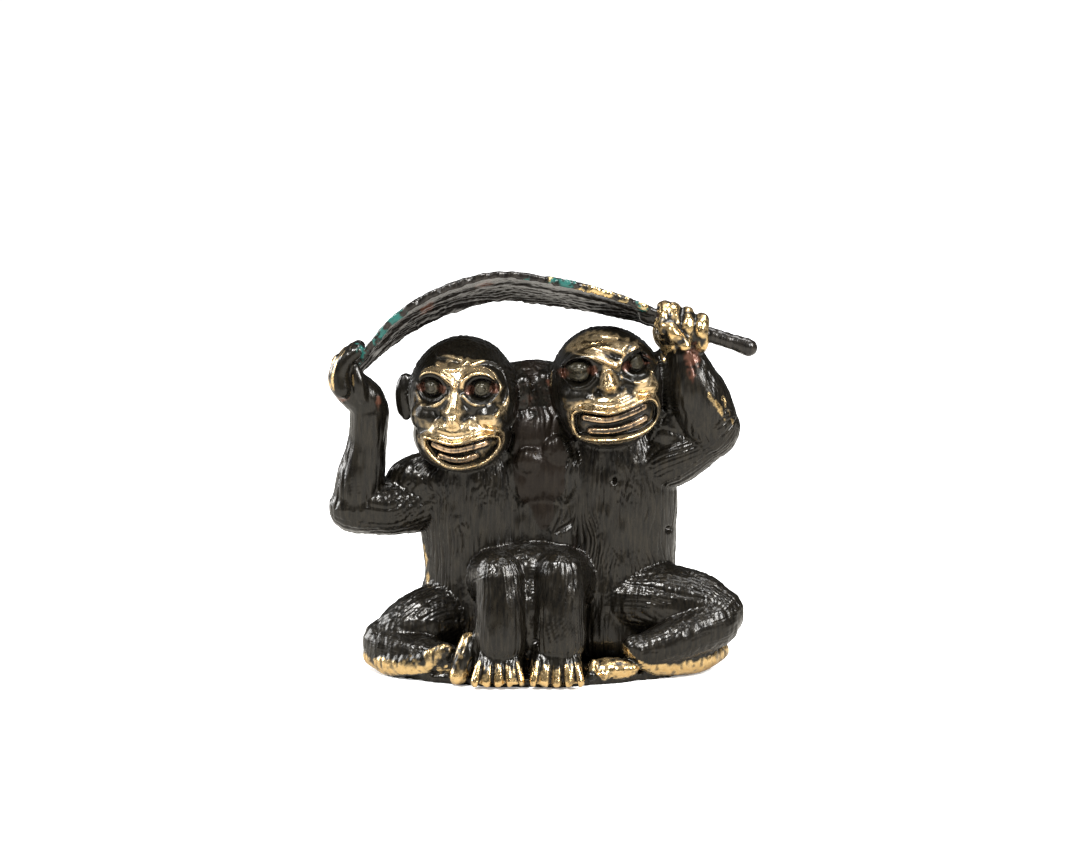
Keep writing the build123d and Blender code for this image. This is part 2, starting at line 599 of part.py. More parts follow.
def build_group():
    """Every piece by name, each seated on those that carry it."""
    left_frame = Pos(spot(*LEFT_HEAD_SHARES)) * Rot(0, LEFT_HEAD_ROLL, LEFT_HEAD_YAW)
    right_frame = Pos(spot(*RIGHT_HEAD_SHARES)) * Rot(0, RIGHT_HEAD_ROLL, RIGHT_HEAD_YAW)
    smile = smile_outline(LEFT_MOUTH_WIDTH, LEFT_MOUTH_HEIGHT, LEFT_SMILE_RISE)
    grin = grin_outline(RIGHT_MOUTH_WIDTH, RIGHT_MOUTH_HEIGHT)
    left_form = left_frame * (skull_form() + muzzle_form(LEFT_FACE_SHARES, LIP_STAND))
    right_form = right_frame * (skull_form() + muzzle_form(RIGHT_FACE_SHARES, LIP_STAND))
    left_teeth = make_teeth(LEFT_FACE_SHARES, smile, LEFT_MOUTH_HEIGHT)
    right_teeth = make_teeth(RIGHT_FACE_SHARES, grin, RIGHT_MOUTH_HEIGHT)

    ground = make_ground()
    plate = largest(make_plate())
    left_torso = seat(make_torso(LEFT_TORSO_SHARES, LEFT_TORSO_WIDTH), plate)
    right_torso = seat(make_torso(RIGHT_TORSO_SHARES, RIGHT_TORSO_WIDTH), plate, left_torso)
    left_ears = [seat(left_frame * ear, left_form) for ear in make_ears()]
    right_ears = [seat(right_frame * ear, right_form) for ear in make_ears()]

    leaf = largest(make_leaf())
    stalk = seat(make_stalk(), leaf)
    left_arm = seat(make_arm(LEFT_UPPER_ARM_SHARES, LEFT_FOREARM_SHARES), left_torso)
    right_arm = seat(make_arm(RIGHT_UPPER_ARM_SHARES, RIGHT_FOREARM_SHARES), right_torso, right_form)

    left_folded = make_leg(LEFT_FOLDED_THIGH_SHARES, LEFT_FOLDED_SHIN_SHARES, UPRIGHT)
    right_folded = make_leg(RIGHT_FOLDED_THIGH_SHARES, RIGHT_FOLDED_SHIN_SHARES, UPRIGHT)
    left_folded = seat(left_folded, ground, plate, left_torso)
    right_folded = seat(right_folded, ground, plate, right_torso)
    left_raised = make_leg(LEFT_RAISED_THIGH_SHARES, LEFT_RAISED_SHIN_SHARES, ACROSS)
    right_raised = make_leg(RIGHT_RAISED_THIGH_SHARES, RIGHT_RAISED_SHIN_SHARES, ACROSS)
    left_raised = seat(left_raised, plate, left_torso, right_torso, left_folded)
    right_raised = seat(right_raised, plate, right_torso, left_torso, right_folded)
    left_front = seat(make_front_foot(LEFT_FRONT_FOOT_SHARES), ground, plate, left_raised)
    right_front = seat(make_front_foot(RIGHT_FRONT_FOOT_SHARES), ground, plate, right_raised)
    left_foot = [seat(raw, ground, plate, left_folded, left_front) for raw in make_left_folded_foot()]

    return {
        "ground_plate": plate,
        "left_torso": left_torso,
        "right_torso": right_torso,
        "left_head": seat(left_frame * make_head(LEFT_FACE_SHARES, smile, LEFT_BROW_TILT), left_torso),
        "right_head": seat(right_frame * make_head(RIGHT_FACE_SHARES, grin, RIGHT_BROW_TILT), right_torso),
        "left_ears": Compound(left_ears),
        "right_ears": Compound(right_ears),
        "left_eyes": Compound([largest(left_frame * eye) for eye in make_eyes(LEFT_FACE_SHARES)]),
        "right_eyes": Compound([largest(right_frame * eye) for eye in make_eyes(RIGHT_FACE_SHARES)]),
        "left_teeth": Compound([largest(left_frame * row) for row in left_teeth]),
        "right_teeth": Compound([largest(right_frame * row) for row in right_teeth]),
        "leaf_blade": leaf,
        "leaf_stalk": stalk,
        "left_raised_arm": left_arm,
        "right_raised_arm": right_arm,
        "left_raised_hand": seat(make_left_raised_hand(), left_arm, leaf),
        "right_raised_hand": seat(make_right_raised_hand(), right_arm, leaf, stalk),
        "left_inner_arm": seat(make_left_inner_arm(), left_torso, right_torso),
        "right_inner_arm": seat(
            make_right_inner_arm(), left_torso, right_torso, left_form, right_form, *left_ears, *right_ears
        ),
        "left_folded_leg": left_folded,
        "right_folded_leg": right_folded,
        "left_raised_leg": left_raised,
        "right_raised_leg": right_raised,
        "left_front_foot": left_front,
        "right_front_foot": right_front,
        "left_folded_foot": Compound(left_foot),
        "right_folded_foot": seat(make_right_folded_foot(), ground, plate, right_folded, right_front),
    }


def write_parts():
    pieces = build_group()
    box = Compound(list(pieces.values())).bounding_box()
    middle = box.center()
    home = Pos(-middle.X, -middle.Y, -box.min.Z)
    os.makedirs("parts", exist_ok=True)
    for name, solid in pieces.items():
        export_step(home * solid, os.path.join("parts", name + ".step"))


write_parts()
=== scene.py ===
from math import cos, pi, radians, sin

import bmesh
import bpy
import numpy as np
from mathutils import Matrix, Vector
from mathutils.bvhtree import BVHTree


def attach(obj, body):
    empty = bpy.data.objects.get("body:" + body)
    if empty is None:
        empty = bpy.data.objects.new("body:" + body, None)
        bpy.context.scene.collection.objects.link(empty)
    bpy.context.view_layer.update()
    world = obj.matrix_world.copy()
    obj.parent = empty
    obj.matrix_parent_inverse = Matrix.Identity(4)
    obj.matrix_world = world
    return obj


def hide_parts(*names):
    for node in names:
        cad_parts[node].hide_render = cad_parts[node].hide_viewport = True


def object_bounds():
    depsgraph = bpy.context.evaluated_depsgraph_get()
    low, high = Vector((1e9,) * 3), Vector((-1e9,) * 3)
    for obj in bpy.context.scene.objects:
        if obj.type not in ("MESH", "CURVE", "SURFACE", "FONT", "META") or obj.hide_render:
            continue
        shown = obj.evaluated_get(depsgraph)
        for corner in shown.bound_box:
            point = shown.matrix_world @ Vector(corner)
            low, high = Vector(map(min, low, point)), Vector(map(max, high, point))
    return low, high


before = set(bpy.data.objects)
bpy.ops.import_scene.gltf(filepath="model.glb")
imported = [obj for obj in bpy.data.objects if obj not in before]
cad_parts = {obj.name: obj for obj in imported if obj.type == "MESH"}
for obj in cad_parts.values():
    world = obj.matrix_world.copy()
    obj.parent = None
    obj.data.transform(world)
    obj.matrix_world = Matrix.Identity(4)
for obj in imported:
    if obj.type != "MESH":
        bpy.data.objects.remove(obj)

# A small lost-wax bronze: two seated apes that hold one leaf over their heads.
# The forms are laid out as a modeller lays wax: tubes and balls that run into each other. They are made
# one skin, carved, and cut apart again along the seams of the solids, so each piece of the frame has its
# own closed mesh.
# Places and sizes are in millimetres, as a carver measures, and MM turns them to Blender's metres.
# Left and right are the viewer's. The faces look along -Y.
MM = 0.001
cad_low, cad_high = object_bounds()

# The forms' table runs from the middle of the group, and the frame from the middle of the solids' box
HOME = np.array((-0.21, 0.06, 0.0))

# The frame's pieces, and the finish of those that aren't plain dark bronze
NODES = sorted(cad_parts)
FINISHES = {
    "head": "face_bronze", "ears": "face_bronze", "eyes": "eye_bronze", "teeth": "tooth_bronze",
    "raised_hand": "rubbed_bronze", "folded_foot": "rubbed_bronze", "front_foot": "rubbed_bronze",
    "leaf_blade": "leaf_bronze", "leaf_stalk": "leaf_bronze",
}
SLOTS = {}
for name in NODES:
    SLOTS[name] = FINISHES.get(name.removeprefix("left_").removeprefix("right_"), "patinated_bronze")

# Skin: the voxel that the forms are made one with, the smoothing that draws the seams together, and how
# often the line between two pieces is evened out
VOXEL = 0.18
SMOOTH_STEPS = 15
SMOOTH_SHARE = 0.5
SEAM_STEPS = 12

# Seams: how deep a cap's ring lies under its rim, at most and as a share of the bronze there, where its
# measure starts, how often it is evened out, and from how many of its points a tip is looked at
RIM_DEPTH = 3.0
RIM_SHARE = 0.4
RIM_SKIN = 0.05
RIM_SMOOTH = 6
TIP_VIEWS = 120

# Wax: sides round a roll, a ball and a body, and steps between two rows of a roll and of the leaf
TUBE_SIDES = 28
TUBE_STEPS = 10
BALL_SIDES = 40
BALL_RINGS = 24
TORSO_SIDES = 24
LEAF_STEPS = 6
LEAF_ROWS = 8

# Limbs: x, y, z of the middle line, then the diameter
LIMBS = {
    "left_upper_arm": (
        (-12.0, 4.6, 27.0, 8.6), (-17.0, 4.0, 25.2, 8.8), (-22.5, 3.0, 24.6, 9.0), (-28.0, 2.0, 24.6, 8.2),
    ),
    "left_forearm": (
        (-28.0, 2.0, 25.0, 7.4), (-27.2, 1.5, 29.0, 7.4), (-26.1, 1.0, 34.5, 6.0), (-25.6, 0.5, 39.6, 6.0),
    ),
    "right_upper_arm": (
        (14.0, 4.0, 30.5, 9.6), (19.5, 3.5, 32.0, 9.3), (24.0, 3.0, 34.2, 7.6), (27.2, 2.5, 36.7, 6.0),
    ),
    "right_forearm": (
        (25.6, 2.5, 36.4, 9.0), (24.2, 2.2, 40.0, 9.8), (22.6, 1.4, 43.8, 8.8), (21.7, 0.4, 48.0, 5.6),
    ),
    "left_palm": (
        (-25.6, 0.4, 39.0, 5.4), (-26.2, 0.3, 41.2, 5.9), (-27.9, 0.0, 42.8, 5.7), (-29.4, -0.3, 44.6, 5.0),
        (-29.6, -0.4, 46.6, 3.8),
    ),
    "left_thumb": ((-26.6, -2.1, 41.7, 2.0), (-27.1, -2.7, 44.1, 1.9), (-27.6, -2.5, 46.4, 1.6)),
    "right_thumb": ((17.7, -3.1, 53.2, 2.0), (19.5, -4.5, 52.0, 2.2), (21.4, -4.5, 50.3, 1.9)),
    "right_inner_back": ((4.5, 5.4, 32.2, 6.1), (2.6, 5.1, 37.8, 6.4), (0.0, 3.9, 42.8, 6.4)),
    "right_inner_front": (
        (0.0, 3.9, 42.8, 6.4), (-0.7, 3.4, 41.7, 6.1), (-0.5, 2.2, 37.2, 5.6), (0.0, 0.8, 32.9, 5.4),
        (0.3, -0.2, 29.1, 5.4),
    ),
    "left_inner_arm": (
        (-4.5, 8.1, 29.1, 5.8), (1.9, 11.1, 29.4, 5.4), (8.0, 12.0, 28.0, 5.1), (13.4, 11.6, 26.5, 4.8),
    ),
    "left_folded_thigh": (
        (-12.0, 3.0, 8.0, 11.7), (-17.0, 0.6, 6.9, 11.2), (-21.1, -0.5, 5.3, 9.6), (-23.2, -1.0, 4.5, 7.6),
    ),
    "left_folded_shin": ((-23.0, -2.0, 4.0, 6.8), (-18.6, -5.1, 3.4, 6.4), (-14.0, -7.5, 3.1, 5.2)),
    "right_folded_thigh": (
        (12.0, 3.0, 10.0, 12.4), (18.0, 0.8, 10.3, 12.0), (23.5, -0.5, 9.9, 10.4), (26.4, -1.5, 9.0, 8.8),
    ),
    "right_folded_shin": ((26.1, -2.9, 7.8, 8.0), (21.0, -5.4, 6.0, 7.0), (15.5, -6.9, 4.2, 5.6)),
    "left_raised_thigh": ((-7.0, 3.0, 11.2, 9.2), (-6.8, -3.0, 14.9, 8.5), (-6.5, -8.4, 16.6, 6.6)),
    "left_raised_shin": (
        (-6.1, -8.7, 16.2, 7.2), (-5.8, -9.5, 11.2, 7.8), (-5.9, -9.9, 5.6, 8.0), (-6.2, -10.6, 2.4, 4.6),
    ),
    "right_raised_thigh": ((6.0, 3.0, 11.5, 9.2), (3.6, -3.0, 15.2, 8.5), (2.6, -8.4, 16.9, 6.6)),
    "right_raised_shin": (
        (2.8, -8.7, 16.5, 7.2), (2.8, -9.5, 11.2, 7.8), (2.6, -9.9, 5.6, 8.0), (2.4, -10.8, 2.4, 4.6),
    ),
    "left_sole": (
        (-25.0, -1.8, 2.5, 3.8), (-22.1, -4.8, 2.1, 4.2), (-17.9, -7.6, 2.7, 4.0), (-14.4, -9.2, 4.8, 3.0),
    ),
    "left_big_toe": ((-10.6, -9.9, 6.6, 2.6), (-11.3, -10.6, 4.0, 3.5), (-12.2, -11.2, 1.6, 3.0)),
    "right_sole": (
        (26.8, 0.0, 2.9, 3.6), (24.2, -2.9, 2.4, 4.2), (20.5, -5.3, 2.3, 4.2), (16.6, -7.0, 3.1, 4.2),
        (13.8, -7.9, 5.2, 3.6),
    ),
    "leaf_stalk": (
        (15.7, -0.9, 54.1, 2.2), (22.4, -1.05, 52.1, 2.3), (26.9, -1.05, 50.7, 2.35),
        (31.1, -1.05, 49.35, 2.7),
    ),
}

# Bodies: x, y, z, then the width and the depth
TORSOS = {
    "left_torso": (
        (-10.5, 5.0, 0.6, 21.0, 17.0), (-10.5, 5.0, 6.0, 20.6, 17.0), (-8.2, 5.0, 13.0, 17.6, 15.0),
        (-9.0, 5.0, 20.0, 19.2, 14.6), (-9.0, 4.8, 27.0, 19.6, 14.4), (-9.8, 4.0, 32.0, 14.7, 11.9),
        (-10.8, 3.0, 36.0, 9.2, 9.0),
    ),
    "right_torso": (
        (11.0, 5.0, 0.6, 22.0, 17.0), (11.0, 5.0, 6.0, 21.6, 17.0), (10.7, 5.0, 13.0, 19.6, 15.0),
        (10.5, 5.0, 21.0, 20.7, 14.6), (10.7, 4.8, 29.0, 21.1, 14.4), (10.5, 4.0, 34.0, 15.4, 11.9),
        (10.2, 3.0, 38.0, 9.5, 9.0),
    ),
}

# Heads: the middle, the roll and the yaw in degrees, then balls in the head's own frame:
# x, y, z, width, depth, height
HEADS = {
    "left": {
        "middle": (-11.58, 0.51, 40.67), "roll": 0.0, "yaw": -7.0,
        "balls": (
            (0.0, 0.5, 1.2, 16.8, 17.2, 18.0), (0.0, -2.5, -4.3, 14.4, 14.8, 11.2),
            (0.0, -5.6, 4.6, 11.6, 5.2, 4.4), (-4.4, -5.0, -1.2, 5.6, 6.0, 5.6),
            (4.4, -5.0, -1.2, 5.6, 6.0, 5.6),
        ),
    },
    "right": {
        "middle": (9.98, 0.51, 42.78), "roll": -10.0, "yaw": 3.0,
        "balls": (
            (0.0, 0.5, 0.8, 17.2, 17.2, 17.6), (0.0, -2.5, -2.7, 15.0, 14.8, 11.6),
            (0.0, -5.4, 5.6, 12.0, 5.2, 4.6), (-4.6, -5.0, 0.4, 5.6, 5.6, 5.2),
            (4.6, -5.0, 0.4, 5.6, 5.6, 5.2),
        ),
    },
}
EAR_PLACE = (8.9, 1.2, 0.7)
EAR_SIZE = (3.4, 2.2, 7.4)

# Balls of the group: x, y, z, width, depth, height
BALLS = {
    "right_fist": (20.9, 0.6, 51.2, 8.0, 5.4, 7.2),
    "right_heel": (14.6, -7.4, 4.6, 4.0, 4.0, 4.6),
    "left_instep": (-6.2, -9.8, 3.2, 7.6, 7.6, 8.4),
    "right_instep": (2.4, -10.0, 3.2, 7.8, 7.6, 8.4),
    "between_heads": (-1.0, 3.9, 40.0, 19.0, 8.2, 13.8),
    "between_necks": (-0.4, 2.4, 34.6, 17.0, 9.0, 14.0),
    "chest_hand": (0.5, 0.3, 30.2, 13.0, 6.8, 13.0),
    "chest_lump_left": (-1.6, -2.1, 32.2, 4.4, 2.8, 4.4),
    "chest_lump_right": (2.4, -1.9, 33.8, 4.6, 2.8, 4.8),
    "chest_crease": (0.4, 1.6, 21.0, 12.0, 8.4, 30.0),
    "sole_toe_pad": (10.6, -8.6, 2.0, 8.4, 4.2, 3.4),
    "between_shins": (-1.6, -6.7, 8.6, 6.6, 9.0, 17.4),
    "lap": (-1.5, -4.4, 16.2, 17.6, 9.4, 8.2),
    "right_arm_web": (19.2, 3.2, 36.6, 9.0, 7.0, 15.0),
    "right_arm_web_top": (19.4, 2.6, 43.2, 8.0, 7.0, 12.0),
    "left_shoulder": (-16.0, 3.8, 28.4, 15.0, 9.4, 9.0),
}

# Digits: how many, the step between their tips, the share of it at their roots, then x, y, z and the
# diameter along one
DIGITS = {
    "left_fingers": (
        4, (0.0, 1.6, 0.0), 1.0,
        (
            (-29.6, -0.3, 43.2, 2.8), (-29.9, -0.3, 45.6, 2.8), (-29.0, -0.3, 47.6, 2.6),
            (-27.4, -0.3, 49.0, 2.2),
        ),
    ),
    "right_chest_fingers": (
        4, (1.9, 0.0, 0.0), 1.0, ((0.3, -1.5, 31.0, 2.0), (0.3, -1.9, 28.2, 2.0), (0.3, -1.0, 25.4, 1.7)),
    ),
    "left_back_fingers": (
        4, (0.0, 0.0, 1.75), 1.0, ((13.1, 11.8, 26.3, 1.9), (15.7, 11.2, 25.7, 1.9), (18.0, 10.0, 25.1, 1.9)),
    ),
    "left_toes": (
        5, (1.62, 0.0, 0.0), 0.62,
        ((-6.3, -11.6, 5.6, 1.4), (-6.3, -13.0, 3.3, 1.75), (-6.3, -13.9, 1.2, 1.65)),
    ),
    "right_toes": (
        5, (1.66, 0.0, 0.0), 0.62, ((2.4, -11.6, 5.6, 1.5), (2.4, -13.0, 3.3, 1.85), (2.4, -13.9, 1.2, 1.75)),
    ),
}
SOLE_TOES = ((7.9, -11.0), (9.7, -10.4), (11.4, -9.6), (13.0, -8.7))

# Fist: x of its fingers along the stalk, their diameter, how far round the stalk they lie, and their turn
FIST_FINGERS = (18.2, 20.1, 22.0, 23.8)
FIST_FINGER = 2.1
FIST_REACH = 2.1
FIST_TURN = (150, -150)
FIST_STEPS = 9

# Leaf: x and z of the middle line, then the width
LEAF = (
    (-28.6, 45.3, 2.4), (-24.1, 50.0, 6.8), (-21.1, 52.8, 9.7), (-15.1, 56.3, 12.6), (-6.1, 58.8, 13.5),
    (2.9, 57.7, 13.0), (8.9, 56.5, 11.2), (14.9, 54.8, 8.2), (18.7, 53.4, 5.6),
)
LEAF_THICKNESS = 1.1
LEAF_CAMBER = 1.1
LEAF_TILT = 22.0

# Plate: outline points round the group, and its thickness
PLATE = (
    (-24.3, 1.2), (-22.8, -5.0), (-16.0, -9.4), (-6.8, -12.1), (2.8, -12.4), (11.2, -9.9),
    (19.5, -5.9), (24.4, 0.5), (21.4, 8.9), (9.7, 12.4), (-8.3, 12.4), (-20.5, 8.9),
)
PLATE_THICKNESS = 1.2


# Modelling the forms


def deselect():
    bpy.ops.object.select_all(action="DESELECT")


def pick(piece):
    """Selects one piece alone."""
    deselect()
    piece.select_set(True)
    bpy.context.view_layer.objects.active = piece


def in_hand():
    """The piece that is being worked on."""
    return bpy.context.view_layer.objects.active


def apply_all(piece):
    """Applies a piece's modifiers in their order."""
    pick(piece)
    for modifier in list(piece.modifiers):
        bpy.ops.object.modifier_apply(modifier=modifier.name)


def enter_edit():
    """Opens the piece in hand for work on its mesh, all of it selected."""
    bpy.ops.object.mode_set(mode="EDIT")
    bpy.ops.mesh.select_all(action="SELECT")


def leave_edit():
    """Turns the mesh in hand the right way out and ends the work on it."""
    bpy.ops.mesh.select_all(action="SELECT")
    bpy.ops.mesh.normals_make_consistent(inside=False)
    bpy.ops.object.mode_set(mode="OBJECT")


def smooth_wax(piece, name, steps):
    """Smooths a piece by some steps, after the modifiers that it has."""
    smooth = piece.modifiers.new(name, "SMOOTH")
    smooth.factor = SMOOTH_SHARE
    smooth.iterations = steps
    apply_all(piece)


def flow(rows, steps=TUBE_STEPS):
    """A smooth run through rows of numbers: each stretch follows the rows before and after it."""
    rows = np.array(rows, float)
    padded = np.vstack((2 * rows[0] - rows[1], rows, 2 * rows[-1] - rows[-2]))
    run = []
    for before, start, end, after in zip(padded, padded[1:], padded[2:], padded[3:]):
        for t in np.arange(steps) / steps:
            run.append(
                start + t * ((end - before) / 2 + t * (before - 2.5 * start + 2 * end - after / 2
                             + t * (1.5 * (start - end) + (after - before) / 2)))
            )
    run.append(rows[-1])
    return np.array(run)


def rounded(rows):
    """The middle line of a rolled piece and its diameters, with both ends drawn in to a tip."""
    run = flow(rows)
    first = (run[0, :3] - run[1, :3]) / np.linalg.norm(run[0, :3] - run[1, :3])
    last = (run[-1, :3] - run[-2, :3]) / np.linalg.norm(run[-1, :3] - run[-2, :3])
    angles = np.radians((30, 55, 75, 86))
    start = [(*(run[0, :3] + first * run[0, 3] / 2 * sin(a)), run[0, 3] * cos(a)) for a in angles[::-1]]
    end = [(*(run[-1, :3] + last * run[-1, 3] / 2 * sin(a)), run[-1, 3] * cos(a)) for a in angles]
    return np.vstack((start, run, end))


def all_rolls():
    """Every rolled piece of the group: limbs, digits, and the fingers that close round the stalk."""
    rolls = {name: [rows] for name, rows in LIMBS.items()}
    for name, (count, step, root_share, rows) in DIGITS.items():
        fan = np.linspace(root_share, 1.0, len(rows))[:, None]
        places = (np.arange(count) - (count - 1) / 2)[:, None] * np.array(step)
        rolls[name] = [np.array(rows) + fan * (*place, 0.0) for place in places]
    rolls["sole_toes"] = [((x, y + 1.6, 3.0, 1.6), (x - 0.3, y, 1.5, 1.7)) for x, y in SOLE_TOES]
    stalk = flow(LIMBS["leaf_stalk"])
    rolls["fist_fingers"] = []
    turn = np.radians(np.linspace(*FIST_TURN, FIST_STEPS))
    for near in FIST_FINGERS:
        x, y, z, _ = stalk[np.argmin(abs(stalk[:, 0] - near))]
        rolls["fist_fingers"].append(
            [(x, y - FIST_REACH * cos(a), z + FIST_REACH * sin(a), FIST_FINGER) for a in turn]
        )
    return rolls


def roll_wax():
    """All rolled pieces as one bevelled curve, thick and thin along its splines, made a mesh."""
    curve = bpy.data.curves.new("rolled_wax", "CURVE")
    curve.dimensions = "3D"
    curve.bevel_depth = MM
    curve.bevel_resolution = TUBE_SIDES // 4
    curve.use_fill_caps = True
    for rolls in all_rolls().values():
        for rows in rolls:
            run = rounded(rows)
            spline = curve.splines.new("POLY")
            spline.points.add(len(run) - 1)
            for point, (x, y, z, diameter) in zip(spline.points, run):
                point.co = (x * MM, y * MM, z * MM, 1.0)
                point.radius = diameter / 2
    wax = bpy.data.objects.new("rolled_wax", curve)
    bpy.context.scene.collection.objects.link(wax)
    pick(wax)
    bpy.ops.object.convert(target="MESH")
    return in_hand()


def ball(place, size, turn=(0.0, 0.0, 0.0)):
    """A ball of wax pressed to a width, a depth and a height."""
    deselect()
    bpy.ops.mesh.primitive_uv_sphere_add(
        segments=BALL_SIDES, ring_count=BALL_RINGS, radius=MM / 2, location=Vector(place) * MM, rotation=turn,
        scale=size
    )
    return in_hand()


def head_turn(side):
    """The matrix that takes a place on a head to the group."""
    head = HEADS[side]
    turn = Matrix.Rotation(radians(head["roll"]), 4, "Y") @ Matrix.Rotation(radians(head["yaw"]), 4, "Z")
    return Matrix.Translation(head["middle"]) @ turn


def model_head(side):
    """A head's balls, then its two ears."""
    turn = head_turn(side)
    angles = turn.to_euler()
    forms = [ball(turn @ Vector(row[:3]), row[3:], angles) for row in HEADS[side]["balls"]]
    x, y, z = EAR_PLACE
    return forms + [ball(turn @ Vector((way * x, y, z)), EAR_SIZE, angles) for way in (-1, 1)]


def model_torso(rows):
    """A body drawn up from a round of clay, ring by ring."""
    deselect()
    x, y, z, width, depth = rows[0]
    bpy.ops.mesh.primitive_circle_add(
        vertices=TORSO_SIDES, radius=MM / 2, fill_type="NGON", location=(x * MM, y * MM, z * MM)
    )
    torso = in_hand()
    torso.scale = (width, depth, 1.0)
    bpy.ops.object.transform_apply(location=True, rotation=True, scale=True)
    enter_edit()
    for before, after in zip(rows, rows[1:]):
        step = [(b - a) * MM for a, b in zip(before[:3], after[:3])]
        bpy.ops.mesh.extrude_region_move(TRANSFORM_OT_translate={"value": step})
        bpy.ops.transform.resize(
            value=(after[3] / before[3], after[4] / before[4], 1.0),
            center_override=[n * MM for n in after[:3]]
        )
    leave_edit()
    rounding = torso.modifiers.new("rounding", "SUBSURF")
    rounding.levels = 2
    rounding.render_levels = 2
    apply_all(torso)
    return torso


def leaf_frame(run):
    """Middle, across and up of the leaf at each row of its run: its front edge is tipped up."""
    middles = np.column_stack((run[:, 0], np.zeros(len(run)), run[:, 1]))
    along = np.gradient(middles, axis=0)
    along /= np.linalg.norm(along, axis=1)[:, None]
    up = np.cross(along, (0.0, 1.0, 0.0))
    tilt = radians(LEAF_TILT)
    across = np.array((0.0, 1.0, 0.0)) * cos(tilt) - up * sin(tilt)
    up = up * cos(tilt) + np.array((0.0, 1.0, 0.0)) * sin(tilt)
    return middles, across, up


def model_leaf():
    """A sheet of wax cut to a leaf, arched along and across, then given its thickness."""
    run = flow(LEAF, LEAF_STEPS)
    middles, across, up = leaf_frame(run)
    deselect()
    bpy.ops.mesh.primitive_grid_add(x_subdivisions=len(run) - 1, y_subdivisions=LEAF_ROWS, size=2.0)
    leaf = in_hand()
    for vertex in leaf.data.vertices:
        row = round((vertex.co.x + 1) / 2 * (len(run) - 1))
        side = vertex.co.y
        arch = LEAF_CAMBER * run[row, 2] / LEAF[4][2] * (1 - side ** 2)
        place = middles[row] + across[row] * side * run[row, 2] / 2 + up[row] * arch
        vertex.co = place * MM
    wall = leaf.modifiers.new("wall", "SOLIDIFY")
    wall.thickness = LEAF_THICKNESS * MM
    wall.offset = -1.0
    apply_all(leaf)
    return leaf


def model_plate():
    """The thin plate under the group."""
    deselect()
    bpy.ops.mesh.primitive_circle_add(vertices=len(PLATE), radius=MM, fill_type="NGON")
    plate = in_hand()
    for vertex, (x, y) in zip(plate.data.vertices, PLATE):
        vertex.co = (x * MM, y * MM, 0.0)
    enter_edit()
    bpy.ops.mesh.extrude_region_move(TRANSFORM_OT_translate={"value": (0.0, 0.0, PLATE_THICKNESS * MM)})
    leave_edit()
    return plate


def model_skin():
    """All forms as one skin of even voxels, moved home and smoothed until the seams are drawn together."""
    forms = [roll_wax(), model_leaf(), model_plate()]
    forms += [model_torso(rows) for rows in TORSOS.values()]
    forms += [ball(row[:3], row[3:]) for row in BALLS.values()]
    forms += model_head("left") + model_head("right")
    deselect()
    for form in forms:
        form.select_set(True)
    bpy.context.view_layer.objects.active = forms[0]
    bpy.ops.object.join()
    skin = in_hand()
    skin.location = skin.location + Vector(HOME) * MM
    bpy.ops.object.transform_apply(location=True, rotation=True, scale=True)
    remesh = skin.modifiers.new("one_skin", "REMESH")
    remesh.mode = "VOXEL"
    remesh.voxel_size = VOXEL * MM
    smooth_wax(skin, "draw_together", SMOOTH_STEPS)
    return skin


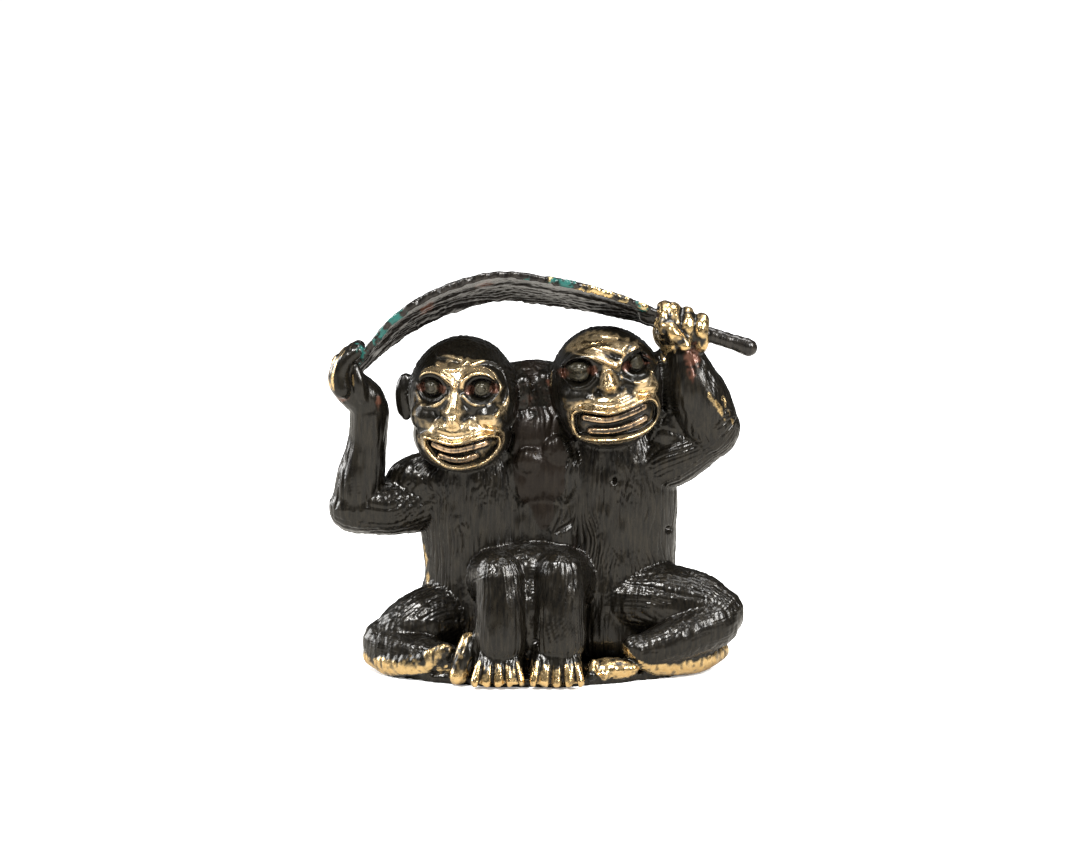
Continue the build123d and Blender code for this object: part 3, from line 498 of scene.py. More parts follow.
# Faces: places on a head, x to the viewer's right and z up, as the carver sees them from the front
FACES = {
    "left": {
        "eyes": ((-3.8, 3.3, 1.15), (3.7, 3.2, 1.15)),
        "nose": ((0.1, 4.4, 1.3, 0.2), (0.0, 2.6, 1.5, 1.0), (-0.2, 0.8, 2.3, 1.8), (-0.3, -0.6, 3.0, 2.0)),
        "bumps": (
            (-1.7, -0.2, 0.7, 0.45), (1.3, -0.2, 0.7, 0.45), (-3.9, -1.3, 1.7, 0.15), (5.0, -1.5, 1.7, 0.2),
            (-1.5, -1.1, 0.6, -0.9), (1.2, -1.1, 0.6, -0.9), (0.1, -9.6, 2.2, 0.5),
        ),
        "ridges": (
            (0.85, 0.50, ((-5.9, 3.8), (-5.3, 5.2), (-4.0, 5.9), (-2.4, 5.7), (-1.0, 4.7), (-0.1, 3.8))),
            (0.85, 0.50, ((1.1, 3.6), (1.3, 4.7), (2.7, 5.7), (4.5, 5.7), (5.8, 4.7), (6.5, 3.4))),
            (
                0.80, 0.42,
                ((2.3, 6.9), (3.9, 7.3), (5.5, 6.8), (6.9, 5.4), (7.5, 3.2), (7.3, 1.0), (6.2, -0.5)),
            ),
            (0.60, 0.36, ((-3.1, 7.8), (-1.6, 8.0), (-0.3, 7.7), (0.4, 7.5))),
            (0.60, 0.36, ((-3.1, 6.8), (-1.3, 6.3), (0.3, 6.4), (1.5, 7.3))),
            (0.45, 0.42, ((-6.2, 2.4), (-5.2, 0.9), (-3.3, 0.7), (-1.4, 2.0))),
            (0.45, 0.42, ((1.2, 2.3), (2.9, 1.1), (4.9, 1.3), (6.4, 2.9))),
            (-0.45, 0.45, ((-6.7, 7.0), (-7.4, 3.5), (-7.3, -2.1), (-6.5, -6.7), (-5.0, -9.4))),
            (-0.45, 0.45, ((8.1, 0.2), (7.7, -3.2), (6.6, -6.9), (5.0, -9.4))),
            (-0.22, 0.40, ((-2.2, -0.6), (-3.6, -2.3), (-5.0, -3.4))),
            (-0.22, 0.40, ((1.9, -0.8), (3.6, -2.2), (5.6, -2.9))),
        ),
        "mouth": (
            (-4.5, -4.1), (-2.8, -4.3), (-0.5, -4.8), (1.8, -4.5), (4.0, -3.9), (5.7, -3.9), (6.3, -4.5),
            (5.9, -5.9), (4.3, -7.5), (2.4, -8.2), (0.6, -8.4), (-1.4, -8.1), (-3.0, -7.0), (-4.2, -5.4),
        ),
        "teeth": (
            ((-3.3, -5.0), (-1.4, -5.6), (0.2, -5.7), (2.2, -5.3), (4.4, -4.8)),
            ((-2.3, -6.7), (-0.5, -7.2), (1.1, -7.2), (2.9, -6.7)),
        ),
    },
    "right": {
        "eyes": ((-4.1, 4.4, 1.62), (4.8, 4.0, 1.15)),
        "nose": ((0.1, 5.0, 1.4, 0.2), (0.1, 3.8, 1.7, 1.1), (0.1, 2.5, 2.4, 1.9), (0.1, 1.9, 2.8, 2.0)),
        "bumps": (
            (-0.6, 1.7, 0.75, 0.5), (0.9, 1.9, 0.75, 0.45), (-3.0, 0.5, 1.6, 0.2), (5.0, 0.3, 1.7, 0.2),
            (-1.5, 0.9, 0.5, -0.4), (1.7, 0.9, 0.5, -0.4), (0.3, -7.7, 2.4, 0.5),
        ),
        "ridges": (
            (1.00, 0.58, ((-6.3, 5.1), (-5.3, 6.4), (-3.5, 6.8), (-1.7, 6.4), (0.1, 5.4), (1.4, 4.6))),
            (0.70, 0.42, ((-6.0, 6.9), (-4.3, 7.9), (-1.9, 8.0), (0.7, 7.3), (2.9, 6.0))),
            (0.60, 0.42, ((-3.6, 8.9), (-1.4, 9.2), (0.7, 8.8), (2.6, 8.2))),
            (0.80, 0.60, ((1.6, 4.1), (3.3, 5.3), (4.9, 6.5), (6.6, 6.7), (7.8, 5.0), (8.0, 3.0))),
            (0.60, 0.42, ((3.0, 6.6), (4.5, 7.6), (6.2, 7.9), (7.6, 6.8))),
            (0.45, 0.42, ((-6.2, 3.9), (-5.4, 2.5), (-3.6, 2.3), (-2.0, 3.3))),
            (0.45, 0.42, ((2.2, 2.5), (4.0, 1.4), (6.3, 1.6), (7.7, 2.6))),
            (-0.45, 0.45, ((-7.0, 7.6), (-7.7, 4.5), (-7.6, 0.6), (-7.4, -3.6), (-5.6, -7.6))),
            (-0.45, 0.45, ((8.3, 2.0), (7.9, -1.6), (7.6, -4.6), (5.8, -7.6))),
            (-0.22, 0.40, ((-1.6, 1.2), (-3.2, -0.4), (-5.4, -0.8))),
            (-0.22, 0.40, ((2.2, 1.2), (4.0, -0.4), (6.0, -0.6))),
        ),
        "mouth": (
            (-5.9, -1.8), (-4.8, -1.3), (-2.7, -1.8), (-0.6, -2.3), (1.6, -2.1), (3.8, -1.7), (5.6, -1.6),
            (6.5, -2.4), (6.6, -3.8), (5.9, -5.2), (4.1, -6.0), (1.6, -6.2), (-1.3, -6.1), (-3.9, -5.7),
            (-5.7, -5.0), (-6.1, -3.5),
        ),
        "teeth": (
            ((-4.3, -2.4), (-1.7, -3.1), (0.7, -3.1), (4.6, -2.4)),
            ((-3.8, -4.5), (-1.0, -4.9), (1.4, -4.8), (4.4, -4.2)),
        ),
    },
}

# Gold on the faces: x, z, half width, half height, and how much readier the place is; negative is duller
FACE_GOLD = {
    "left": (
        (-0.2, -2.6, 4.6, 1.5, 0.20), (4.9, -2.0, 1.7, 1.5, 0.26), (-0.6, 5.2, 2.6, 1.1, 0.16),
        (-0.2, 1.0, 1.2, 2.8, 0.14), (-4.4, -0.3, 1.8, 1.1, -0.16), (4.2, 0.2, 2.0, 0.8, -0.12),
        (0.4, -9.6, 5.0, 1.2, -0.14),
    ),
    "right": (
        (0.1, 2.8, 1.3, 2.2, 0.22), (-1.6, -0.7, 4.6, 1.0, 0.20), (5.6, 0.0, 2.4, 1.5, 0.24),
        (-1.0, 7.4, 4.6, 1.7, 0.12), (-4.9, 1.4, 2.2, 1.3, -0.22), (3.0, 2.4, 1.0, 1.6, -0.20),
        (0.4, -8.0, 5.0, 1.2, -0.12),
    ),
}

# Fronts of the heads: half width, depth and half height of what is cut finer and of what is carved
FINE_FRONT = (8.4, 2.5, 10.4)
CARVED_FRONT = (9.0, 1.0, 11.5)

# Eyes: width over height, the socket, how far the ball swells out, and the rings round an eye: the share
# of the ball's radius and the step beyond it, the height of the ring and its half width
EYE_WIDE = 1.12
SOCKET_DEPTH = 0.90
SOCKET_REACH = (1.2, 2.5)
EYE_SWELL = 1.2
EYE_RINGS = ((0.55, 0.0, -0.10, 0.14), (1.0, 0.12, -0.30, 0.2), (1.0, 0.55, 0.30, 0.22))

# Mouths: the lip and the fold outside it, with their steps from the outline, then the hollow and the teeth
LIP_HEIGHT = 0.70
LIP_WIDTH = 0.36
LIP_STEP = 0.28
FOLD_DEPTH = 0.20
FOLD_WIDTH = 0.4
FOLD_STEP = 1.2
MOUTH_DEPTH = 1.25
TOOTH_HEIGHT = 0.95
TOOTH_HALF = 0.52
TOOTH_PITCH = 1.15
TOOTH_GAP = 0.05
TOOTH_GAP_HALF = 0.13
LINE_STEPS = 4

# Strokes of a fur tool: how many run round the piece, how deep, and how long one stroke is
TORSO_STROKES = (78, 0.44, 5.0)
LIMB_STROKES = {
    "left_raised_arm": (("left_upper_arm", "left_forearm"), 17, 0.18, 6.0),
    "right_raised_arm": (("right_upper_arm", "right_forearm"), 20, 0.22, 6.0),
    "left_inner_arm": (("left_inner_arm",), 14, 0.16, 5.0),
    "right_inner_arm": (("right_inner_back", "right_inner_front"), 16, 0.20, 5.0),
    "left_folded_leg": (("left_folded_thigh", "left_folded_shin"), 26, 0.22, 4.5),
    "right_folded_leg": (("right_folded_thigh", "right_folded_shin"), 26, 0.22, 4.5),
    "left_raised_leg": (("left_raised_thigh", "left_raised_shin"), 26, 0.24, 5.5),
    "right_raised_leg": (("right_raised_thigh", "right_raised_shin"), 26, 0.24, 5.5),
}
HAIR_STROKES = (66, 0.26, 3.0)
FOOT_STROKES = (0.8, 0.24, 5.0)
TOE_STEP = 1.62
TOE_GAP = 0.45
TOE_GAP_HALF = 0.20

# Leaf: the veins' spacing, depth and length, how they slant to where they meet, and the rib's half width
VEIN_PITCH = 0.95
VEIN_DEPTH = 0.22
VEIN_LENGTH = 7.0
VEIN_SLANT = 0.32
VEIN_MEET = 26.0
RIB_HALF = 0.7
TORN_EDGE = 0.9

# Cast roughness: on the fist, all over as lumps and as streaks, its share on the faces, then the pores
FIST_ROUGH = 0.55
CAST_LUMPS = 0.18
CAST_STREAKS = 0.16
FACE_CALM = 0.35
PORES = ((11.1, 29.3), (19.5, 21.3), (-0.8, 6.8))
PORE_RADIUS = 0.4
PORE_DEPTH = 0.8


# Carving


def ease(low, high, values):
    """A smooth rise from 0 at low to 1 at high."""
    t = np.clip((values - low) / (high - low), 0.0, 1.0)
    return t * t * (3 - 2 * t)


def hashed(cells, seed):
    """A repeatable value from 0 to 1 for each whole-numbered cell."""
    mixed = np.full(cells.shape[0], seed * 7919 + 17, dtype=np.int64)
    for axis, prime in zip(range(cells.shape[1]), (73856093, 19349663, 83492791)):
        mixed = (mixed ^ (cells[:, axis] * prime)) & 0x7FFFFFFF
        mixed = ((mixed ^ (mixed >> 15)) * 739981) & 0x7FFFFFFF
    mixed ^= mixed >> 13
    return (mixed & 0xFFFF) / 65535.0


def noise(places, seed):
    """Smooth noise from 0 to 1 that turns over once in each whole step."""
    base = np.floor(places).astype(np.int64)
    part = places - base
    part = part * part * (3 - 2 * part)
    total = np.zeros(len(places))
    for corner in np.ndindex(*(2,) * places.shape[1]):
        weight = np.prod(np.where(corner, part, 1 - part), axis=1)
        total += weight * hashed(base + np.array(corner), seed)
    return total


def nearest_on(places, line):
    """How far each place is from a line of straight runs, and how far along it the nearest place lies."""
    line = np.array(line, float)
    best = np.full(len(places), 1e9)
    along = np.zeros(len(places))
    gone = 0.0
    for start, end in zip(line, line[1:]):
        run = end - start
        length = np.linalg.norm(run)
        t = np.clip((places - start) @ run / length ** 2, 0.0, 1.0)
        distance = np.linalg.norm(places - start - t[:, None] * run, axis=1)
        closer = distance < best
        best[closer] = distance[closer]
        along[closer] = gone + t[closer] * length
        gone += length
    return best, along


def outline_distance(places, outline):
    """How far each place is outside a closed outline; inside it the number is negative."""
    ring = np.array(outline + outline[:1], float)
    distance, _ = nearest_on(places, ring)
    inside = np.zeros(len(places), bool)
    for (ax, az), (bx, bz) in zip(ring, ring[1:]):
        if az == bz:
            continue
        crosses = (az > places[:, 1]) != (bz > places[:, 1])
        inside ^= crosses & (places[:, 0] < (bx - ax) * (places[:, 1] - az) / (bz - az) + ax)
    return np.where(inside, -distance, distance)


def to_head(points, side):
    """Places of the group as a head's own places."""
    turn = np.array(head_turn(side).inverted())
    return points @ turn[:3, :3].T + turn[:3, 3]


def on_front(local, half_width, depth, half_height):
    """Which places of a head lie on its front."""
    return (local[:, 1] < -depth) & (abs(local[:, 0]) < half_width) & (abs(local[:, 2]) < half_height)


def face_numbers(side):
    """The numbers of a head's pieces that the face is carved on."""
    return [NODES.index(side + part) for part in ("_head", "_eyes", "_teeth")]


def face_edge(local, side):
    """How far outside the bare skin of the face each place of a head is, in mm; on it, negative."""
    lift = {"left": -0.6, "right": 0.6}[side]
    away = np.hypot(local[:, 0] / 8.2, (local[:, 2] - lift) / 9.8) - 1
    return np.where(local[:, 1] < -1.0, away * 8.0, 9.0)


def eye_distance(spots, x, z):
    """How far each x and z of a head is from the middle of an eye, by the eye's own roundness."""
    return np.hypot((spots[:, 0] - x) / EYE_WIDE, spots[:, 1] - z)


def mouth_distance(spots, face):
    """How far each x and z of a head is outside the mouth; in it the number is negative."""
    run = flow(face["mouth"] + face["mouth"][:1], LINE_STEPS)
    return outline_distance(spots, tuple(map(tuple, run[:-1])))


def lengths_along(run):
    """How far along a run of places each of them lies."""
    return np.concatenate(([0.0], np.cumsum(np.linalg.norm(np.diff(run, axis=0), axis=1))))


def face_relief(spots, face):
    """How far the face stands out towards the viewer at each x and z of a head."""
    relief = np.zeros(len(spots))
    for x, z, radius in face["eyes"]:
        away = eye_distance(spots, x, z)
        relief -= SOCKET_DEPTH * (1 - ease(*SOCKET_REACH, away))
        relief += EYE_SWELL * np.sqrt(np.clip(radius ** 2 - away ** 2, 0.0, None))
        for share, beyond, height, width in EYE_RINGS:
            relief += height * np.exp(-((away - share * radius - beyond) / width) ** 2)
    nose = np.array(face["nose"])
    distance, along = nearest_on(spots, nose[:, :2])
    stations = lengths_along(nose[:, :2])
    width = np.interp(along, stations, nose[:, 2])
    height = np.interp(along, stations, nose[:, 3])
    relief += height * (1 - ease(0.04, 0.78, distance / width))
    for x, z, radius, height in face["bumps"]:
        relief += height * np.exp(-(np.hypot(spots[:, 0] - x, spots[:, 1] - z) / radius) ** 2)
    for height, width, line in face["ridges"]:
        distance, _ = nearest_on(spots, flow(line, LINE_STEPS))
        relief += height * np.exp(-(distance / width) ** 2)
    outside = mouth_distance(spots, face)
    relief += LIP_HEIGHT * np.exp(-((outside - LIP_STEP) / LIP_WIDTH) ** 2)
    relief -= FOLD_DEPTH * np.exp(-((outside - FOLD_STEP) / FOLD_WIDTH) ** 2)
    relief -= MOUTH_DEPTH * (1 - ease(-0.55, 0.05, outside))
    for row in face["teeth"]:
        distance, along = nearest_on(spots, flow(row, LINE_STEPS))
        tooth = 1 - ease(TOOTH_HALF - 0.22, TOOTH_HALF + 0.1, distance)
        gap = np.exp(-((along / TOOTH_PITCH % 1 - 0.5) * TOOTH_PITCH / TOOTH_GAP_HALF) ** 2)
        relief += (TOOTH_HEIGHT - TOOTH_GAP * gap) * tooth * (1 - ease(-0.15, 0.1, outside))
    return relief


def strokes(phase, along, depth, length, seed):
    """Strokes of a fur tool side by side, each of its own length: how far the skin is pushed in."""
    sway = noise(np.column_stack((phase / 5, along / length)), seed) - 0.5
    place = phase + 2.6 * sway + 0.9 * noise(np.column_stack((phase / 1.3, along / (2 * length))), seed + 2)
    groove = (1 - abs(np.sin(np.pi * place))) ** 1.6
    number = np.floor(place + 0.5)
    start = noise(np.column_stack((number * 1.7, along / length + 0.618 * number)), seed + 1)
    fine = (1 - abs(np.sin(np.pi * (1.9 * phase + 2.3 * sway)))) ** 1.6
    press = noise(np.column_stack((phase / 8, along / (1.4 * length))), seed + 3)
    press = 0.35 + 0.80 * ease(0.30, 0.70, press)
    deep = 0.75 * groove * (0.10 + 1.0 * ease(0.35, 0.65, start)) + 0.45 * fine * ease(0.65, 0.35, start)
    return -depth * press * deep


def strokes_round(around, along, tool, seed):
    """Strokes that run along a piece, side by side all round it."""
    count, depth, length = tool
    return strokes(around / (2 * pi) * count, along, depth, length, seed)


def round_line(points, line):
    """The turn round a limb's middle line, from the front, and the place along the line."""
    run = flow(line)[:, :3]
    steps = np.gradient(run, axis=0)
    steps /= np.linalg.norm(steps, axis=1)[:, None]
    index = np.argmin(((points[:, None, :] - run[None]) ** 2).sum(axis=2), axis=1)
    tangent = steps[index]
    front = np.array((0.0, -1.0, 0.0)) - tangent * -tangent[:, 1:2]
    front /= np.linalg.norm(front, axis=1)[:, None]
    side = np.cross(tangent, front)
    away = points - run[index]
    around = np.arctan2((away * side).sum(axis=1), (away * front).sum(axis=1))
    return around, lengths_along(run)[index]


def leaf_place(points):
    """Along the leaf, across it, half its width, and its ways across and up, for each point."""
    run = flow(LEAF, 40)
    middles, across, up = leaf_frame(run)
    index = np.argmin((points[:, None, 0] - middles[None, :, 0]) ** 2
                      + (points[:, None, 2] - middles[None, :, 2]) ** 2, axis=1)
    away = points - middles[index]
    aside = (away * across[index]).sum(axis=1)
    return lengths_along(middles)[index], aside, run[index, 2] / 2, across[index], up[index]


def carve_faces(points, normals, labels, push, moved):
    """The relief of both faces, moved to each head's own front, and the hair round them."""
    for side, face in FACES.items():
        local = to_head(points, side)
        turn = np.array(head_turn(side))[:3, :3]
        facing = -(normals @ turn)[:, 1]
        front = on_front(local, *CARVED_FRONT) & np.isin(labels, face_numbers(side))
        relief = face_relief(local[front][:, [0, 2]], face) * ease(0.05, 0.45, facing[front])
        moved[front] -= relief[:, None] * turn[:, 1]
        hair = (labels == NODES.index(side + "_head")) & (face_edge(local, side) > 0)
        around = np.arctan2(local[hair][:, 0], local[hair][:, 2] + 1.0)
        push[hair] += strokes_round(around, local[hair][:, 1], HAIR_STROKES, 11)


def carve_fur(points, labels, push):
    """Strokes of the fur tool down the bodies and along the limbs."""
    for seed, (name, rows) in enumerate(TORSOS.items()):
        own = labels == NODES.index(name)
        x, y = rows[3][:2]
        around = np.arctan2(points[own][:, 0] - x, y - points[own][:, 1])
        push[own] += strokes_round(around, points[own][:, 2], TORSO_STROKES, 21 + seed)
    for seed, (name, (lines, *tool)) in enumerate(LIMB_STROKES.items()):
        own = np.flatnonzero(labels == NODES.index(name))
        far = np.array([nearest_on(points[own], flow(LIMBS[line])[:, :3])[0] for line in lines])
        for number, line in enumerate(lines):
            near = own[far.argmin(axis=0) == number]
            around, along = round_line(points[near], LIMBS[line])
            push[near] += strokes_round(around, along, tool, 41 + 3 * seed + number)


def carve_leaf(points, normals, labels, push, moved):
    """The leaf's veins, its middle rib, and its torn edge."""
    own = labels == NODES.index("leaf_blade")
    along, across, half, sideways, up = leaf_place(points[own])
    under = ease(0.1, -0.4, (normals[own] * up).sum(axis=1))
    inner = 1 - ease(0.84, 0.97, abs(across) / half)
    slant = across + VEIN_SLANT * np.abs(along - VEIN_MEET)
    push[own] += strokes(slant / VEIN_PITCH, along, VEIN_DEPTH, VEIN_LENGTH, 61) * inner
    push[own] += (0.5 * under - 0.2) * np.exp(-(across / RIB_HALF) ** 2) * inner
    rough = noise(np.column_stack((along / 0.9, across / 3.0)), 71) - 0.5
    torn = np.sign(across) * ease(0.7, 1.0, abs(across) / half) * rough * TORN_EDGE
    moved[own] += sideways * torn[:, None]


def carve_feet(points, labels, push):
    """Strokes that fan out down the front feet, and the gaps between their toes."""
    pitch, depth, length = FOOT_STROKES
    for seed, side in enumerate(HEADS):
        own = labels == NODES.index(side + "_front_foot")
        rise = points[own][:, 2]
        fan = (points[own][:, 0] - BALLS[side + "_instep"][0]) / (1.0 + 0.05 * (4.0 - rise))
        push[own] += strokes(fan / pitch, rise, depth, length, 65 + seed) * ease(2.0, 4.0, rise)
        gap = (fan / TOE_STEP + 1.0) % 1 - 0.5
        push[own] -= TOE_GAP * np.exp(-(gap * TOE_STEP / TOE_GAP_HALF) ** 2) * ease(5.2, 3.0, rise)


def carve(skin):
    """Carves the skin with the face tables, the fur strokes, the leaf's veins and the cast roughness."""
    mesh = skin.data
    points = read(mesh.vertices, "co", 3) / MM - HOME
    normals = read(mesh.vertices, "normal", 3)
    labels = label_points(points)
    push = np.zeros(len(points))
    moved = np.zeros_like(points)
    carve_faces(points, normals, labels, push, moved)
    carve_fur(points, labels, push)
    carve_leaf(points, normals, labels, push, moved)
    carve_feet(points, labels, push)
    own = labels == NODES.index("right_raised_hand")
    push[own] += FIST_ROUGH * (noise(points[own] / 1.3, 69) - 0.5)
    calm = np.ones(len(points))
    for side in HEADS:
        smooth = np.isin(labels, face_numbers(side))
        calm[smooth & (face_edge(to_head(points, side), side) < 0)] = FACE_CALM
    lumps = CAST_LUMPS * (noise(points / 2.4, 81) - 0.5)
    streaks = CAST_STREAKS * (noise(points / (0.5, 0.5, 2.6), 82) - 0.5)
    push += calm * (lumps + streaks)
    for x, z in PORES:
        away = np.hypot(points[:, 0] - x, points[:, 2] - z) / PORE_RADIUS
        push -= np.where(normals[:, 1] < -0.2, PORE_DEPTH * np.exp(-away ** 2), 0.0)
    points = points + moved + normals * push[:, None]
    points = np.clip(points + HOME, np.array(cad_low) / MM, np.array(cad_high) / MM)
    mesh.vertices.foreach_set("co", (points * MM).ravel())
    mesh.update()
    return points - HOME, labels


def read(items, name, size):
    """One number or place for each item of a mesh, as an array."""
    values = np.empty(len(items) * size, np.float32)
    items.foreach_get(name, values)
    return values.reshape(-1, size).astype(float)


def label_points(points):
    """The frame's piece that lies nearest to each point, by number."""
    places = []
    triangles = []
    owners = []
    for number, name in enumerate(NODES):
        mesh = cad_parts[name].data
        mesh.calc_loop_triangles()
        first = len(places)
        places += [vertex.co.copy() for vertex in mesh.vertices]
        triangles += [[first + corner for corner in triangle.vertices] for triangle in mesh.loop_triangles]
        owners += [number] * len(mesh.loop_triangles)
    tree = BVHTree.FromPolygons(places, triangles)
    return np.array([owners[tree.find_nearest(Vector(place))[2]] for place in (points + HOME) * MM])


def refine_faces(skin):
    """Cuts the skin of both faces finer, so the carving has enough to work on."""
    middles = read(skin.data.polygons, "center", 3) / MM - HOME
    facing = read(skin.data.polygons, "normal", 3)
    chosen = np.zeros(len(middles), bool)
    for side in HEADS:
        local = to_head(middles, side)
        turn = np.array(head_turn(side))[:3, :3]
        chosen |= on_front(local, *FINE_FRONT) & ((facing @ turn)[:, 1] < -0.1)
    shape = bmesh.new()
    shape.from_mesh(skin.data)
    shape.faces.ensure_lookup_table()
    edges = {edge for number in np.flatnonzero(chosen) for edge in shape.faces[number].edges}
    bmesh.ops.subdivide_edges(shape, edges=list(edges), cuts=1, use_grid_fill=True)
    bmesh.ops.triangulate(shape, faces=[face for face in shape.faces if len(face.verts) > 4])
    shape.to_mesh(skin.data)
    shape.free()


def worn_down(skin, steps):
    """The skin's points after it is smoothed by some steps, in mm: what stands over them is a high spot."""
    pick(skin)
    bpy.ops.object.duplicate()
    copy = in_hand()
    smooth_wax(copy, "wear", steps)
    points = read(copy.data.vertices, "co", 3) / MM - HOME
    bpy.data.objects.remove(copy)
    return points


# Rubbing: how readily a piece's high spots are rubbed bright, in mm of height over its surroundings
READY = {
    "left_head": -0.03, "right_head": -0.03, "left_eyes": -0.30, "right_eyes": -0.30, "left_teeth": 0.0,
    "right_teeth": -0.04, "left_raised_hand": -0.34, "right_raised_hand": 0.02, "left_folded_foot": -0.06,
    "right_folded_foot": 0.05, "left_front_foot": -0.04, "right_front_foot": 0.02, "leaf_blade": -0.62,
    "leaf_stalk": -0.36, "ground_plate": -0.34,
}
READY_ELSEWHERE = -0.34
LIP_GOLD = 0.26
RIDGE_GOLD = 0.15
HAIR_DULL = 0.34
SOCKET_DULL = 0.42
KNUCKLE_GOLD = 0.36
LEAF_EDGE_GOLD = 0.50
LEAF_PATCHES = 0.50
TOE_GOLD = 0.26
INSTEP_DULL = 0.40

# Wear: smoothing steps that give the near and the wide surroundings, and how broken up the rubbing is
NEAR_STEPS = 14
WIDE_STEPS = 60
PATCHES = 0.26
GRAINS = 0.16

# Spots of bare gold, of copper and of verdigris: x, y, z and radius
GOLD_SPOTS = (
    (-18.4, 3.0, 19.6, 0.7), (-18.2, 3.0, 17.9, 0.7), (-17.8, 3.0, 16.0, 0.8), (-17.6, 2.0, 13.8, 0.9),
    (1.4, -0.6, 44.6, 0.7),
)
GOLD_STREAKS = (
    ((28.6, -0.2, 38.0), (27.2, -1.0, 41.6)), ((27.6, -1.6, 38.4), (26.2, -2.2, 41.4)),
    ((26.4, -2.4, 40.4), (24.8, -2.9, 43.4)),
)
STREAK_HALF = 0.34
SPOT_SHAPE = (1.2, 1.0, 0.6)
SPOT_EDGE = (0.55, 1.15)
COPPER_SHARE = 0.6
EYE_COPPER = 0.55
# Brown matte dust added to the inner arm between the heads: partly dust, partly painted shade where the heads
# shade it
ARM_DUST_AND_SHADE = 0.6
COPPER_SPOTS = (
    (-30.0, -2.0, 42.5, 1.2), (-24.0, -2.0, 41.3, 0.8), (22.6, -2.4, 48.2, 1.5),
    (-1.8, 0.4, 41.2, 0.9), (1.4, 0.6, 43.8, 0.7), (-8.0, -2.0, 57.2, 2.2), (-17.0, 0.0, 54.4, 1.6),
)
GREEN_SPOTS = (
    (-26.9, -2.4, 49.5, 0.9), (-23.6, -4.2, 51.6, 1.5), (-21.4, -5.0, 53.6, 1.3), (1.8, -6.2, 60.3, 1.0),
    (4.0, -6.2, 59.7, 1.1), (15.0, -3.6, 55.6, 0.9), (-2.0, -6.0, 58.0, 0.8),
)


def ready_faces(points, labels, ready):
    """Lips, ridges and the places of the table are readier for gold, hair and sockets less ready."""
    for side, face in FACES.items():
        head = labels == NODES.index(side + "_head")
        local = to_head(points[head], side)
        spots = local[:, [0, 2]]
        change = -HAIR_DULL * ease(-1.6, 0.6, face_edge(local, side))
        for x, z, radius in face["eyes"]:
            change -= SOCKET_DULL * (1 - ease(radius + 0.7, radius + 1.3, eye_distance(spots, x, z)))
        for height, _, line in face["ridges"]:
            if height > 0:
                away, _ = nearest_on(spots, flow(line, LINE_STEPS))
                change += RIDGE_GOLD * ease(0.35, 0.80, height) * np.exp(-(away / 0.5) ** 2)
        change += LIP_GOLD * np.exp(-((mouth_distance(spots, face) - 0.35) / 0.55) ** 2)
        for x, z, width, height, amount in FACE_GOLD[side]:
            away = np.hypot((spots[:, 0] - x) / width, (spots[:, 1] - z) / height)
            change += amount * (1 - ease(0.4, 1.2, away))
        ready[head] += change


def ready_limbs(points, normals, labels, ready):
    """Knuckles, the leaf's edge and toes are readier for gold, the insteps less ready."""
    hand = labels == NODES.index("left_raised_hand")
    outward = ease(0.25, 0.8, -normals[hand][:, 0])
    ready[hand] += KNUCKLE_GOLD * outward * ease(42.0, 44.0, points[hand][:, 2])
    leaf = labels == NODES.index("leaf_blade")
    along, across, half, _, _ = leaf_place(points[leaf])
    ready[leaf] += LEAF_EDGE_GOLD * ease(-0.80, -0.95, across / half) * ease(28.0, 42.0, along)
    ready[leaf] += LEAF_PATCHES * (noise(np.column_stack((along / 2.6, across / 0.9)), 94) - 0.5)
    feet = [NODES.index(name) for name in READY if name.endswith("foot")]
    ready += np.where(np.isin(labels, feet), TOE_GOLD * ease(3.4, 0.8, points[:, 2]), 0.0)
    front = np.isin(labels, [NODES.index(side + "_front_foot") for side in HEADS])
    ready -= np.where(front, INSTEP_DULL * ease(3.4, 5.4, points[:, 2]), 0.0)


def spot_tints(points, patch, grain, gold, copper, green):
    """Lays the tables' spots over the tints with ragged edges, and copper in the corners of the eyes."""
    ragged = ((gold, GOLD_SPOTS, 0.5), (copper, COPPER_SPOTS, 0.7), (green, GREEN_SPOTS, 2.2))
    for tint, spots, rough in ragged:
        for x, y, z, radius in spots:
            away = np.linalg.norm((points - (x, y, z)) * SPOT_SHAPE, axis=1) / radius
            away = away + rough * grain + 0.9 * patch
            np.maximum(tint, 1 - ease(*SPOT_EDGE, away), out=tint)
    copper *= COPPER_SHARE
    for line in GOLD_STREAKS:
        away = nearest_on(points, line)[0] / STREAK_HALF + 0.9 * grain + 1.4 * patch
        np.maximum(gold, 1 - ease(*SPOT_EDGE, away), out=gold)
    for side, face in FACES.items():
        local = to_head(points, side)
        for x, z, radius in face["eyes"]:
            aside = abs(local[:, 0] - x)
            almond = (aside - radius - 0.50) ** 2 / 0.60 + ((local[:, 2] - z + 0.1) / 0.75) ** 2
            corner = EYE_COPPER * (1 - ease(0.2, 1.3, almond + 1.1 * grain)) * (local[:, 1] < -3.0)
            np.maximum(copper, corner, out=copper)


